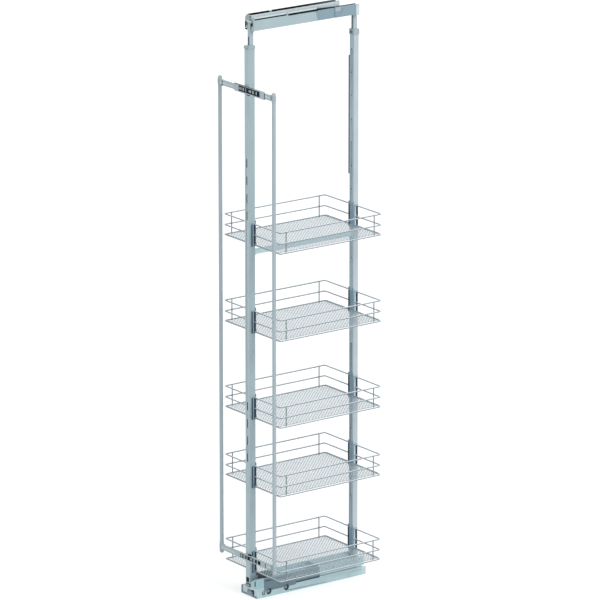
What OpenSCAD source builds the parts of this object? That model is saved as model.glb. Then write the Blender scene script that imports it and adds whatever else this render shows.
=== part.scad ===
// Tall pull-out pantry frame: bottom and top runners, a moving frame of two uprights,
// five wire baskets on holder clips and a door carrier of two rods.
// Axes: X across the cabinet, Y from the door to the back, Z up. The origin lies on the
// cabinet floor at the centre of the base track's four screw holes.

/* [Baskets] */
// Outer width of a basket
basket_w = 342; // [260:1:420]
// Outer depth of a basket
basket_d = 451; // [420:1:460]
// Height between the top ring and the bottom ring, centre to centre
basket_h = 76; // [68:1:90]
// Drop from the top ring to the middle ring
middle_drop = 40; // [30:1:50]
// Diameter of the ring wire
ring_wire = 5; // [4:0.5:6]
// Diameter of the upright wires of a basket
post_wire = 4; // [3:0.5:4]
// Bend radius of a ring's corners, at the wire's centre
ring_corner = 7; // [5:1:15]
// Distance of a basket's upright wires from the middle of its long side
post_y = 194; // [150:1:198]
// Height of the lowest basket's top ring above the floor
lowest_top = 170; // [168:1:180]
// Step between baskets that stand wide apart
wide_step = 320; // [300:1:330]
// Step between the third and the fourth basket
narrow_step = 256; // [240:1:280]
// Thickness of a basket's mesh floor
floor_t = 1.5; // [1:0.1:2]
// Width of the bars of the mesh floor
mesh_bar = 7; // [5:0.5:10]
// Spacing of the mesh openings across the basket
mesh_x = 42; // [36:1:50]
// Spacing of the mesh openings along the basket
mesh_y = 60; // [54:1:70]

/* [Holder clips] */
// Height of a holder clip
holder_h = 82; // [78:1:96]
// Wall of a holder clip beside the upright
holder_wing = 2.4; // [2:0.2:4]
// Wall of a holder clip on the basket's side of the upright
holder_web = 1.4; // [1.2:0.2:5]
// How far a clip's wings reach along the upright's side
holder_reach = 18; // [14:0.5:20]
// Height of the hook tabs on top of a holder clip
holder_tab = 12; // [6:1:16]

/* [Uprights] */
// Width of both uprights
upright_w = 25; // [24:0.5:28]
// Depth of the front upright
front_d = 27; // [25:0.5:30]
// Depth of the rear upright
rear_d = 22; // [21:0.5:25]
// Wall of the uprights
upright_wall = 1.5; // [1.2:0.1:2]
// Centre of the front upright in front of the baskets' outer edge
front_offset = 6.5; // [5:0.5:9]
// Centre of the rear upright behind the baskets' outer edge
rear_offset = 1; // [0:0.5:3]
// Height of the front upright's top
front_top = 2022; // [1990:1:2024]
// How far the rear upright ends below the front one
rear_drop = 11; // [0:1:20]
// Length of a slot in the front upright
slot_l = 32; // [20:1:40]
// Width of a slot in the front upright
slot_w = 5; // [4:0.5:7]
// Pitch of the slots
slot_pitch = 64; // [50:1:70]
// Height of the lowest slot of the lower group
slot_low = 522; // [450:1:600]
// Height of the lowest slot of the upper group
slot_high = 1417; // [1350:1:1480]
// Diameter of the holes in the rear upright
hole_d = 5; // [3:0.5:8]
// Pitch of the upper row of holes
hole_pitch = 85.5; // [60:0.5:88]
// Distance of the lowest hole of the upper row below the rear upright's top
hole_down = 566; // [540:1:580]
// Drop from a basket's bottom ring to the hole below it
hole_drop = 121; // [100:1:140]
// Drop from the top basket's bottom ring to the strut's middle
strut_drop = 29; // [26:1:50]
// Height of the strut
strut_h = 18; // [10:1:20]
// Width of the strut
strut_w = 12; // [10:1:20]
// Length of the dark strip on the rear upright
strip_l = 435; // [300:1:480]
// Distance of the dark strip below the rear upright's top
strip_down = 78; // [60:1:120]
// Length of the angle plates that bolt the uprights to the beam
angle_l = 60; // [40:1:80]

/* [Base] */
// Length of the base track
track_l = 489; // [480:1:520]
// Width of the base track
track_w = 97; // [94:1:108]
// Height of the base track's walls
track_h = 31; // [30:0.5:33]
// Sheet thickness of the base track
track_t = 2; // [1.5:0.1:2.4]
// Radius of the rollers that carry the middle runner
roller_r = 9.5; // [9:0.1:10]
// Width of a roller
roller_w = 7; // [5:0.5:8]
// Radius of the rollers that carry the beam
beam_roller_r = 10.5; // [10:0.1:11]
// Distance between the floor screws across the track
screw_x = 40; // [36:1:44]
// Distance between the floor screws along the track
screw_y = 432; // [426:1:436]
// Diameter of the screw holes in the track and the top rail
screw_d = 5.5; // [4:0.1:6]
// Outer width of the beam
beam_w = 77; // [70:0.5:78]
// Height of the beam
beam_h = 31; // [28:0.5:32]
// Sheet thickness of the beam
beam_t = 2; // [1.5:0.1:2.5]
// Length of the plate that closes the rear of the beam
beam_plate = 160; // [100:1:200]

/* [Top runner] */
// Height of the slide channel's underside above the front upright's collar
slide_reach = 56; // [54:1:80]
// Height of the whole top runner, from the slide channel's underside to the cabinet top
runner_rise = 56; // [56:1:62]
// Length of the top rail
rail_l = 386; // [370:1:395]
// Width of the top rail between its outer walls
rail_w = 24; // [22:0.5:26]
// Depth of the top rail
rail_h = 29; // [26:0.5:32]
// Outer width of the slide channel
slide_w = 52; // [51:0.5:56]
// Height of the slide channel's walls
slide_h = 37; // [34:0.5:40]
// Height of the side covers
cover_h = 43; // [38:0.5:44]
// Distance between the ceiling screws
ceiling_screw_y = 320; // [280:1:330]
// Outer size of the square inner tubes
inner_tube = 15; // [12:0.5:15.5]
// Length of an inner tube that is hidden in its upright
inner_depth = 222; // [200:1:260]

/* [Door carrier] */
// Distance between the rods
rod_span = 324; // [310:1:360]
// Outer diameter of a rod
rod_d = 14; // [11:0.5:15]
// Distance of the upper crossbar below the front upright's top
upper_down = 146; // [120:1:200]
// Height of the lower crossbar
lower_z = 148.5; // [140:0.5:160]
// Half height of a crossbar's arms
arm_half = 10; // [8:0.5:10.5]
// Half height of the upper crossbar's middle bracket
bracket_half = 14; // [13.5:0.5:16]
// Half height of the lower crossbar's middle bracket
lower_half = 11; // [11:0.5:14]
// Width of a crossbar's middle bracket
bracket_w = 180; // [160:1:190]
// Offset of the middle brackets to the right of the uprights
bracket_x = 26; // [0:1:28]
// Distance between the door screws of a crossbar
door_screw_x = 256; // [230:1:266]
// Diameter of the door screw holes
door_screw_d = 5.2; // [4:0.1:6]

/* [Hidden] */
$fn = 48;
// Gap between parts that slide past each other
slip = 0.3;
// Play of a roller on its axle
axle_play = 0.05;
// How far one joined shape runs into the next
weld = 0.6;
// Step past a face that a cut has to clear
over = 1;
// Travel of the moving frame
travel = 440;
// Radius of the bolts
bolt_r = 3;

// Rings and basket heights, from the lowest basket up
ring_x = basket_w / 2 - ring_wire / 2;
ring_y = basket_d / 2 - ring_wire / 2;
tops = [
    lowest_top + 3 * wide_step + narrow_step,
    lowest_top + 2 * wide_step + narrow_step,
    lowest_top + wide_step + narrow_step,
    lowest_top + wide_step,
    lowest_top
];

// Uprights
front_y = -(basket_d / 2 + front_offset);
rear_y = basket_d / 2 + rear_offset;
front_face = front_y - front_d / 2;
front_back = front_y + front_d / 2;
rear_face = rear_y - rear_d / 2;
rear_back = rear_y + rear_d / 2;
rear_top = front_top - rear_drop;
foot_top = 50;
side = upright_w / 2;
strut_z = tops[0] - basket_h - strut_drop;
hole_high = rear_top - hole_down;
front_lip = 11;
rear_lip = 20;
spigot_l = 32;

// Bottom runner, from the floor up
track_front = front_y - 8.5;
track_rear = track_front + track_l;
track_in = track_w / 2 - track_t;
roller_z = track_t + 8 + roller_r;
runner_z = roller_z + roller_r + slip;
runner_t = 2;
runner_half = track_in - 1.5;
leg_out = track_in - 14;
leg_t = 2;
leg_z = track_t + 3;
roller_in = leg_out + 4.2;
axle_r = 3;
stub_r = 2.5;
support_y = [front_y + 45, front_y + 123];
buffer_l = 10;
runner_front = track_front + 5;
runner_rear = track_rear - 3 - buffer_l - slip;
rear_roller_y = runner_rear - 40;
rear_roller_z = track_t + roller_r + slip;
above_runner = runner_z + runner_t + 0.5;
beam_z = above_runner + 5.2;
beam_roller_z = beam_z - slip - beam_roller_r;
beam_roller_x = 18;
beam_roller_y = [front_y + 32, front_y + 192];
beam_front = front_back + slip;
beam_rear = rear_back + 11;
beam_top = beam_z + beam_h;
guide_y = [rear_face - 105.5, rear_face - 75.5];
guide_slot = [guide_y[0] - travel / 2 - 8, guide_y[1] + 8];
cover_front = front_y - 11;
cover_t = 2;
cover_rise = 35.5;
soft_front = front_y + 25;
soft_rear = front_y + 166;
soft_z = track_h - 8;
soft_top = beam_top - 10;
damper_r = 2.5;
damper_low = above_runner;
damper_rear = soft_rear + 107;

// Top runner, from the front upright's collar up
slide_z = front_top + front_lip + slide_reach;
rail_top = slide_z + runner_rise;
tube_y = front_y + 4.2;
tube_back = tube_y + inner_tube / 2;
rail_front = front_y - 1.5;
rail_rear = rail_front + rail_l;
rail_t = 1.5;
rail_z = rail_top - rail_h;
rail_half = rail_w / 2;
flange_half = rail_half + 4;
flange_t = 2;
mid_t = 1.5;
mid_in = flange_half + 3;
mid_out = mid_in + mid_t;
mid_z = rail_z - 12;
mid_h = 20;
slide_t = 1.5;
slide_in = slide_w / 2 - slide_t;
slide_front = front_y + 1.5;
slide_rear = rear_y - 96.5;
mid_front = tube_back + 1;
cradle_z = slide_z - 3;
cover_rear = slide_front + 276.5;
cover_slant = 12;
glide_l = 33;
glide_h = 27;
edge_lip = 1;
ceiling_y = (rail_front + rail_rear) / 2;

// Door carrier, from the upright forwards
upper_z = front_top - upper_down;
anchor_t = 2;
anchor_half = 40;
anchor_h = 8;
adjuster_t = 4;
cross_t = 1.5;
cross_back = front_face - anchor_t - slip;
cross_front = cross_back - adjuster_t - slip - cross_t;
rod_y = front_face + 1;
cap_wall = 0.8;
cap_r = rod_d / 2 + cap_wall;
cap_h = 36;
arm_end = rod_span / 2 - cap_r;
adjuster_half = 66;
window_half = 63;

// Box between two corners
module block(lo, hi) {
    translate(lo) cube(hi - lo);
}

// Round bar along X
module bar_x(r, x, y, z) {
    translate([x[0], y, z]) rotate([0, 90, 0]) cylinder(r = r, h = x[1] - x[0]);
}

// Round bar along Y
module bar_y(r, x, y, z) {
    translate([x, y[0], z]) rotate([-90, 0, 0]) cylinder(r = r, h = y[1] - y[0]);
}

// Round bar along Z
module bar_z(r, x, y, z) {
    translate([x, y, z[0]]) cylinder(r = r, h = z[1] - z[0]);
}

// The child and its mirror image on the other side of the cabinet
module both_sides() {
    children();
    mirror([1, 0, 0]) children();
}

// Upright rectangular tube
module tube(w, d, wall, y, z) {
    difference() {
        block([-w / 2, y - d / 2, z[0]], [w / 2, y + d / 2, z[1]]);
        block([-w / 2 + wall, y - d / 2 + wall, z[0] - over],
              [w / 2 - wall, y + d / 2 - wall, z[1] + over]);
    }
}

// Roller with chamfered rims and a bore, its axis along X
module roller(r, bore, x, y, z) {
    rim = 1;
    width = x[1] - x[0];
    translate([x[0], y, z]) rotate([0, 90, 0]) rotate_extrude()
        polygon([[bore, 0], [r - rim, 0], [r, rim], [r, width - rim], [r - rim, width], [bore, width]]);
}

// Pair of rollers, one on each side
module roller_pair(r, bore, x, y, z) {
    both_sides() roller(r, bore, [x, x + roller_w], y, z);
}

// Floor channel with a window for the soft-close unit in its right wall
module base_track() color("LightSteelBlue") difference() {
    union() {
        block([-track_w / 2, track_front, 0], [track_w / 2, track_rear, track_t]);
        both_sides() block([track_in, track_front, 0], [track_w / 2, track_rear, track_h]);
    }
    for (x = [-1, 1], y = [-1, 1])
        bar_z(screw_d / 2, x * screw_x / 2, y * screw_y / 2, [-over, track_t + over]);
    block([track_in - over, soft_front - slip, soft_z - slip],
          [track_w / 2 + over, soft_rear + slip, track_h + over]);
    for (y = support_y)
        bar_x(roller_r + 1.5, [track_in - over, track_w / 2 + over], y, roller_z);
    block([track_in - over, soft_rear - slip, damper_low],
          [track_w / 2 + over, damper_rear + slip, track_h + over]);
    bar_x(2, [track_in - over, track_w / 2 + over], track_rear - 16, track_h - 10);
}

// Angle plates on the track's floor with the stub axles of the support rollers
module roller_brackets() color("SlateGray") both_sides() {
    x = leg_out + 1.5;
    difference() {
        union() {
            block([x, support_y[0] - 17, track_t], [x + 2, support_y[1] + 17, roller_z + 6]);
            block([x, support_y[0] - 17, track_t], [track_in, support_y[1] + 17, track_t + 1.5]);
        }
        for (y = support_y) bar_z(2, x + 7, y, [track_t - over, track_t + 3]);
    }
    for (y = support_y) bar_x(axle_r, [x + 1, roller_in + roller_w + 1], y, roller_z);
}

module support_rollers(y) color("DimGray")
    roller_pair(roller_r, axle_r + axle_play, roller_in, y, roller_z);

module support_rollers_front() support_rollers(support_y[0]);
module support_rollers_back() support_rollers(support_y[1]);

// Dark housing that stands in the window of the track's right wall
module soft_close_unit() color("SlateGray") difference() {
    union() {
        block([beam_w / 2 + 1, soft_front, above_runner], [track_w / 2, soft_rear - 12, soft_top]);
        block([track_in, soft_front, soft_z], [track_w / 2, soft_rear, above_runner + over]);
        block([beam_w / 2 + 1, soft_rear - 12, above_runner], [track_w / 2, soft_rear, soft_top - 8]);
    }
    for (y = support_y)
        bar_x(roller_r + 1.5, [track_in - over, track_w / 2 + over], y, roller_z);
    block([beam_w / 2, soft_front + 12, soft_top - 7],
          [track_w / 2 - 3, soft_rear - 24, soft_top + over]);
}

// Damper that lies in the notch behind the soft-close unit
module damper() color("DarkSlateGray") {
    x = track_w / 2 - damper_r;
    bar_y(damper_r, x, [soft_rear, damper_rear - 3], damper_low + damper_r);
    block([x - damper_r, damper_rear - 4, damper_low], [track_w / 2, damper_rear, damper_low + 6]);
}

// Guide block in the open front of the track
module front_guide() color("WhiteSmoke") difference() {
    block([-15, track_front + 1, track_t], [15, track_front + 15, track_t + 16]);
    translate([-16, track_front, track_t + 8]) rotate([30, 0, 0]) cube([32, 6, 20]);
}

// Rubber block that the middle runner closes against
module rear_buffer() color("DimGray") {
    block([-14, track_rear - 3, track_t], [14, track_rear, runner_z + runner_t]);
    block([-10, track_rear - 3 - buffer_l, runner_z - 12], [10, track_rear - 3, runner_z + runner_t]);
}

// Screw at the front end of the track's right wall
module track_screws() color("Silver") {
    x = track_w / 2;
    difference() {
        bar_x(6, [x, x + 1.6], front_y + 21, 18);
        bar_x(2.5, [x + 0.6, x + 2], front_y + 21, 18);
    }
}

// Middle runner: a channel turned upside down, with slots for rollers and the uplift guide
module mid_runner() color("LightSlateGray") difference() {
    union() {
        block([-runner_half, runner_front, runner_z], [runner_half, runner_rear, runner_z + runner_t]);
        both_sides() block([leg_out - leg_t, runner_front, leg_z], [leg_out, runner_rear, runner_z]);
    }
    block([-8, guide_slot[0], runner_z - over], [8, guide_slot[1], runner_z + runner_t + over]);
    both_sides() for (y = beam_roller_y)
        block([beam_roller_x - 1, y - beam_roller_r - 1, runner_z - over],
              [beam_roller_x + roller_w + 1, y + beam_roller_r + 1, runner_z + runner_t + over]);
    for (y = beam_roller_y)
        bar_x(stub_r, [-leg_out - over, leg_out + over], y, beam_roller_z);
    bar_x(axle_r, [-leg_out - over, leg_out + over], rear_roller_y, rear_roller_z);
}

// Stub axles for the beam's rollers and the through axle of the rear rollers
module mid_axles() color("Silver") {
    both_sides() for (y = beam_roller_y)
        bar_x(stub_r, [beam_roller_x - 4, leg_out], y, beam_roller_z);
    bar_x(axle_r, [-roller_in - roller_w - 1, roller_in + roller_w + 1], rear_roller_y, rear_roller_z);
}

module mid_rear_rollers() color("DimGray")
    roller_pair(roller_r, axle_r + axle_play, roller_in, rear_roller_y, rear_roller_z);

module beam_rollers(y) color("DimGray")
    roller_pair(beam_roller_r, stub_r + axle_play, beam_roller_x, y, beam_roller_z);

module beam_rollers_front() beam_rollers(beam_roller_y[0]);
module beam_rollers_back() beam_rollers(beam_roller_y[1]);

// Bottom beam of the moving frame, a channel that is open at the top
module base_beam() color("LightSteelBlue") {
    half = beam_w / 2;
    difference() {
        block([-half, beam_front, beam_z], [half, beam_rear, beam_top]);
        block([-half + beam_t, beam_front - over, beam_z + beam_t],
              [half - beam_t, beam_rear + over, beam_top + over]);
        bar_x(2.5, [half - 3, half + 1], beam_rear - 8, beam_top - 10);
    }
}

// Plate that closes the rear half of the beam, and strips that close the gap above the middle runner
module beam_cover() color("LightSteelBlue") {
    half = beam_w / 2 - beam_t;
    x = track_w / 2;
    y = cover_front;
    block([-half, rear_face - 10 - beam_plate, beam_top - 1.5], [half, rear_face - 10, beam_top]);
    both_sides() block([half, beam_front, above_runner], [half + beam_t, beam_rear, beam_z]);
    block([side, y, above_runner], [x - cover_t - 0.1, y + cover_t, beam_z]);
    block([x - cover_t, y, above_runner], [x, soft_front - 1, beam_z]);
}

// Block under the beam that hooks under the middle runner
module uplift_guide() color("WhiteSmoke") {
    block([-6, guide_y[0], runner_z - 1], [6, guide_y[1], beam_z]);
    block([-11, guide_y[0], runner_z - 5], [11, guide_y[1], runner_z - 0.4]);
}

// Bent sheet cover beside the foot of the front upright, slanted at the top of its front
module front_cover() color("PowderBlue") {
    x = track_w / 2;
    y = cover_front;
    z = [beam_z, beam_z + cover_rise];
    difference() {
        union() {
            translate([0, y + cover_t, 0]) rotate([90, 0, 0]) linear_extrude(height = cover_t)
                polygon([[side, z[0]], [x, z[0]], [x, z[1]], [x - 8, z[1]], [side, z[1] - 17]]);
            block([x - cover_t, y, z[0]], [x, soft_front - 1, z[1]]);
            block([x - 8, y, z[1] - cover_t], [x, soft_front - 1, z[1]]);
        }
        block([x - 7, y - over, z[0] + 14], [x - 4, y + cover_t + over, z[1] - 4]);
    }
}

// Slot with round ends in the front wall of the front upright
module upright_slot(z) {
    y = [front_face - over, front_face + upright_wall + over];
    half = (slot_l - slot_w) / 2;
    block([-slot_w / 2, y[0], z - half], [slot_w / 2, y[1], z + half]);
    for (end = [-half, half]) bar_y(slot_w / 2, 0, y, z + end);
}

// Bolt holes through the wall that faces the baskets
module bracket_holes(y) {
    for (z = bolt_heights) bar_y(bolt_r + 0.2, 0, y, z);
}
bolt_heights = [beam_top - 12, beam_top - 1];

module front_upright() color("LightSteelBlue") difference() {
    tube(upright_w, front_d, upright_wall, front_y, [foot_top, front_top]);
    for (low = [slot_low, slot_high], i = [0:3]) upright_slot(low + i * slot_pitch);
    block([-9.2, front_face - over, foot_top + 3.8],
          [7.2, front_face + upright_wall + over, foot_top + 21.2]);
    bracket_holes([front_back - upright_wall - over, front_back + over]);
}

module rear_upright() color("LightSteelBlue") {
    y = [rear_face - over, rear_face + upright_wall + over];
    difference() {
        tube(upright_w, rear_d, upright_wall, rear_y, [beam_z + beam_t, rear_top]);
        for (i = [0:6]) bar_y(hole_d / 2, 0, y, hole_high + i * hole_pitch);
        for (i = [0:3]) bar_y(hole_d / 2, 0, y, tops[i] - basket_h - hole_drop);
        bracket_holes(y);
    }
}

// Plastic foot with a plug inside the front upright and a square button in its front
module front_foot() color("DarkSlateGray") {
    in_x = side - upright_wall - 0.1;
    in_y = front_d / 2 - upright_wall - 0.1;
    block([-side, front_face, beam_z - 0.5], [side, front_back, foot_top]);
    difference() {
        block([-in_x, front_y - in_y, foot_top - over], [in_x, front_y + in_y, foot_top + 35]);
        block([-in_x - over, front_y + in_y - 6, foot_top],
              [in_x + over, front_y + in_y + over, foot_top + 36]);
    }
    block([-9, front_face - 0.8, foot_top + 4], [7, front_y - in_y + over, foot_top + 21]);
}

// Angle plates that bolt the uprights to the beam
module upright_brackets() color("Silver") {
    web = beam_z + beam_t;
    difference() {
        union() {
            block([-20, front_back, web], [20, front_back + 3, beam_top + 8]);
            block([-20, front_back, web], [20, front_back + angle_l, web + 3]);
            block([-20, rear_face - 3, web], [20, rear_face, beam_top + 8]);
            block([-20, rear_face - angle_l, web], [20, rear_face, web + 3]);
        }
        bracket_holes([front_back - over, front_back + 4]);
        bracket_holes([rear_face - 4, rear_face + over]);
    }
}

// Cross tube between the uprights under the top basket
module strut() color("LightSteelBlue") {
    plate = 3;
    difference() {
        block([-strut_w / 2, front_back + plate, strut_z - strut_h / 2],
              [strut_w / 2, rear_face - plate, strut_z + strut_h / 2]);
        block([-strut_w / 2 + 1.5, front_back + plate + 2, strut_z - strut_h / 2 + 1.5],
              [strut_w / 2 - 1.5, rear_face - plate - 2, strut_z + strut_h / 2 - 1.5]);
    }
    for (y = [front_back, rear_face - plate])
        block([-11, y, strut_z - strut_h / 2 - 3], [11, y + plate, strut_z + strut_h / 2 + 3]);
}

// Guide collar at the top of an upright, with a spigot and a bore for the inner tube
module collar(y, d, z, lip, bore_y) {
    edge = 1.5;
    fit = 0.1;
    bore = inner_tube / 2 + slip;
    in_x = side - upright_wall - fit;
    in_y = d / 2 - upright_wall - fit;
    difference() {
        union() {
            block([-side - edge, y - d / 2 - edge, z], [side + edge, y + d / 2 + edge, z + lip]);
            block([-in_x, y - in_y, z - spigot_l], [in_x, y + in_y, z + over]);
        }
        block([-bore, bore_y - bore, z - spigot_l - over], [bore, bore_y + bore, z + lip + over]);
        bar_y(bolt_r + 0.1, 0, [y - d / 2 - 2 * edge, y], z + lip / 2);
    }
}

module collars() color("CadetBlue") {
    collar(front_y, front_d, front_top, front_lip, tube_y);
    collar(rear_y, rear_d, rear_top, rear_lip, rear_y);
}

// Clamp screws of the collars and the bolts of the upright brackets
module frame_bolts() color("Silver") {
    front = [front_y, front_d, front_top + front_lip / 2, tube_y];
    rear = [rear_y, rear_d, rear_top + rear_lip / 2, rear_y];
    for (c = [front, rear]) {
        face = c[0] - c[1] / 2 - 1.5;
        bar_y(bolt_r, 0, [face - over, c[3] - inner_tube / 2 - slip], c[2]);
        difference() {
            bar_y(4.5, 0, [face - 4, face], c[2]);
            translate([0, face - 5, c[2]]) rotate([-90, 0, 0]) cylinder(r = 2.4, h = 3.5, $fn = 6);
        }
    }
    for (z = bolt_heights) {
        bar_y(bolt_r, 0, [front_back - 6, front_back + 4], z);
        translate([0, front_back + 3, z]) rotate([-90, 0, 0]) cylinder(r = 5.4, h = 4, $fn = 6);
        bar_y(bolt_r, 0, [rear_face - 4, rear_face + 6], z);
        translate([0, rear_face - 7, z]) rotate([-90, 0, 0]) cylinder(r = 5.4, h = 4, $fn = 6);
    }
}

// Dark strip on the left side of the rear upright
module side_strip() color("DarkSlateGray")
    block([-side - 3, rear_face + 1.5, rear_top - strip_down - strip_l],
          [-side, rear_face + 9, rear_top - strip_down]);

// Plates on the front upright that carry the door adjusters
module door_anchors() color("Silver") for (z = [upper_z, lower_z])
    block([-anchor_half, front_face - anchor_t, z - anchor_h], [anchor_half, front_face, z + anchor_h]);

// Inner tube that stands between the slide's walls
module front_inner_tube() color("LightSteelBlue") difference() {
    tube(inner_tube, inner_tube, 1.5, tube_y, [front_top - inner_depth, rail_z - 0.5]);
    bar_x(bolt_r + 0.2, [-inner_tube, inner_tube], tube_y, slide_z + 8);
    block([0, tube_y - 3, slide_z + 15], [inner_tube, tube_y + 3, slide_z + 23]);
}

// Inner tube under the cradle of the rear bracket
module rear_inner_tube() color("LightSteelBlue")
    tube(inner_tube, inner_tube, 1.5, rear_y, [rear_top - inner_depth, cradle_z]);

// Moving channel of the top runner, with its floor behind the front inner tube
module top_slide() color("LightSlateGray") {
    half = slide_w / 2;
    difference() {
        block([-half, slide_front, slide_z], [half, slide_rear, slide_z + slide_h]);
        block([-slide_in, slide_front - over, slide_z + slide_t],
              [slide_in, slide_rear + over, slide_z + slide_h + over]);
        block([-slide_in, slide_front - over, slide_z - over],
              [slide_in, tube_back, slide_z + slide_t + over]);
    }
}

// Side covers of the slide, cut at a slant at the back
module top_covers() color("AliceBlue") {
    half = slide_w / 2;
    both_sides() translate([half, 0, 0]) rotate([90, 0, 90]) linear_extrude(height = 1.5)
        polygon([[slide_front, slide_z], [cover_rear, slide_z],
                 [cover_rear - cover_slant, slide_z + cover_h], [slide_front, slide_z + cover_h]]);
}

// Plates on both sides of the front inner tube that close the front of the slide
module top_end_plate() color("LightSteelBlue") {
    half = slide_w / 2 + 1.5;
    y = [slide_front - 1.5, slide_front];
    difference() {
        block([-half, y[0], slide_z - 2], [half, y[1], slide_z + cover_h + over]);
        block([-inner_tube / 2, y[0] - over, slide_z - 3], [inner_tube / 2, y[1] + over, rail_z]);
        block([-flange_half - 0.5, y[0] - over, rail_z - 0.5],
              [flange_half + 0.5, y[1] + over, rail_top]);
        both_sides() block([inner_tube / 2 - over, y[0] - over, slide_z + 15],
                           [inner_tube / 2 + 12, y[1] + over, slide_z + 30]);
        both_sides() block([inner_tube / 2 - over, y[0] - over, slide_z + 1.5],
                           [inner_tube / 2 + 5, y[1] + over, slide_z + 16]);
    }
}

// Cheeks from the slide to a cradle on the rear inner tube, open above for the rails to pass.
// The left cheek is lower than the right one.
module top_rear_bracket() color("LightSteelBlue") {
    half = slide_w / 2;
    y = [rear_y - 16.5, rear_y + 1.5];
    bolt_y = rear_y - 2.5;
    difference() {
        union() {
            both_sides()
                block([half, slide_rear - 10, slide_z + 5], [half + 2, slide_rear + over, slide_z + 39]);
            both_sides() block([half, slide_rear, slide_z], [half + 2, y[0] + over, slide_z + 39]);
            block([-half - 2, y[0], cradle_z], [half + 2, y[1], slide_z + 36]);
        }
        block([-mid_out - 1.5, y[0] - over, slide_z + 11], [mid_out + 1.5, y[1] + over, slide_z + 40]);
        block([-half - 3, slide_rear - 11, slide_z + 24], [0, y[1] + over, slide_z + 40]);
        bar_x(2.5, [0, slide_w], slide_rear + 21, slide_z + 29);
        bar_z(bolt_r + 0.2, 0, bolt_y, [cradle_z - over, slide_z + 12]);
        bar_z(5.4, 0, bolt_y, [slide_z + 4, slide_z + 12]);
    }
}

// Nylon blocks that carry and guide the sliding members, at the rear of each outer one
module slide_glides() color("WhiteSmoke") {
    y = [slide_rear - 38, slide_rear - 38 + glide_l - 1];
    z = slide_z + slide_t;
    difference() {
        block([-slide_in, y[0], z], [slide_in, y[1], z + glide_h]);
        block([-mid_out - slip, y[0] - over, mid_z - slip],
              [mid_out + slip, y[1] + over, z + glide_h + over]);
    }
}

// Bolts through the inner tubes and the rivets of the rear bracket's cheeks
module top_bolts() color("Silver") {
    both_sides() translate([inner_tube / 2, tube_y, slide_z + 8]) rotate([0, 90, 0])
        cylinder(r = 5.4, h = 4, $fn = 6);
    bar_x(bolt_r, [-inner_tube / 2 - over, inner_tube / 2 + over], tube_y, slide_z + 8);
    bar_z(bolt_r, 0, rear_y - 2.5, [cradle_z - 14, slide_z + 5]);
    translate([0, rear_y - 2.5, slide_z + 4]) cylinder(r = 4.6, h = 4, $fn = 6);
    both_sides() for (z = [10, 19])
        bar_x(3.5, [slide_w / 2 + 2, slide_w / 2 + 3.2], slide_rear - 5, slide_z + z);
}

// Middle rail of the top runner, a channel with lips turned in over the top rail's flanges
module top_mid_rail() color("DarkSlateGray") difference() {
    block([-mid_out, mid_front, mid_z], [mid_out, rail_rear, mid_z + mid_h]);
    block([-mid_in, mid_front - over, mid_z + mid_t], [mid_in, rail_rear + over, mid_z + mid_h - mid_t]);
    block([-rail_half - 1, mid_front - over, mid_z + mid_h - 2 * mid_t],
          [rail_half + 1, rail_rear + over, mid_z + mid_h + over]);
}

module mid_glides() color("WhiteSmoke") both_sides() {
    block([flange_half + slip, rail_rear - 44, mid_z + mid_t],
          [mid_in, rail_rear - 44 + glide_l, mid_z + mid_h - mid_t]);
    block([mid_out, mid_front + 3, slide_z + slide_t + slip],
          [slide_in - slip, mid_front + 3 + glide_l, mid_z + mid_h - 4]);
}

// Top rail, a channel that is open towards the cabinet top, with flanges that the middle rail hangs on
module top_rail() color("AliceBlue") difference() {
    union() {
        block([-rail_half, rail_front - rail_t, rail_z], [rail_half, rail_rear, rail_top - edge_lip]);
        block([-flange_half, rail_front, rail_z], [flange_half, rail_rear, rail_z + flange_t]);
    }
    block([-rail_half + rail_t, rail_front, rail_z + flange_t],
          [rail_half - rail_t, rail_rear + over, rail_top + over]);
    for (z = [8, 20]) bar_y(1.6, 3, [rail_front - 2 * rail_t, rail_front + over], rail_z + z);
    for (s = [-1, 1])
        bar_z(screw_d / 2, 0, ceiling_y + s * ceiling_screw_y / 2, [rail_z - over, rail_z + flange_t + over]);
}

module rail_glides() color("WhiteSmoke") both_sides() {
    y = [mid_front + 3, mid_front + 3 + glide_l];
    z = [mid_z + mid_t + slip, mid_z + mid_h - mid_t - slip];
    difference() {
        block([6, y[0], z[0]], [mid_in - slip, y[1], z[1]]);
        block([5, y[0] - over, rail_z], [flange_half, y[1] + over, rail_z + flange_t]);
        block([5, y[0] - over, rail_z], [rail_half, y[1] + over, z[1] + over]);
    }
}

// Black lining inside the top rail, with lips over the edges of its walls
module rail_liner() color("DarkSlateGray") {
    out = rail_half - rail_t;
    z = rail_z + flange_t;
    difference() {
        union() {
            block([-out, rail_front + 2, z], [out, rail_rear - 2, rail_top]);
            block([-rail_half, rail_front + 2, rail_top - edge_lip], [rail_half, rail_rear - 2, rail_top]);
        }
        block([-out + 1.2, rail_front, z + 1.2], [out - 1.2, rail_rear, rail_top + over]);
        for (s = [-1, 1])
            bar_z(screw_d, 0, ceiling_y + s * ceiling_screw_y / 2, [z - over, z + 3]);
    }
}

// Dark adjuster blocks inside the middle brackets of the crossbars
module door_adjuster(z, bracket) {
    y = [cross_front + cross_t + slip, cross_back];
    half = bracket - cross_t - slip;
    translate([bracket_x, 0, 0]) difference() {
        block([-adjuster_half, y[0], z - half], [adjuster_half, y[1], z + half]);
        for (x = [-46, -20, 22, 46]) block([x - 6, y[0] - over, z - 5], [x + 6, y[0] + 2, z + 5]);
        bar_y(4, 0, [y[0] - over, y[0] + 3], z);
    }
}

module door_adjusters() color("DarkSlateGray") {
    door_adjuster(upper_z, bracket_half);
    door_adjuster(lower_z, lower_half);
}

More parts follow.
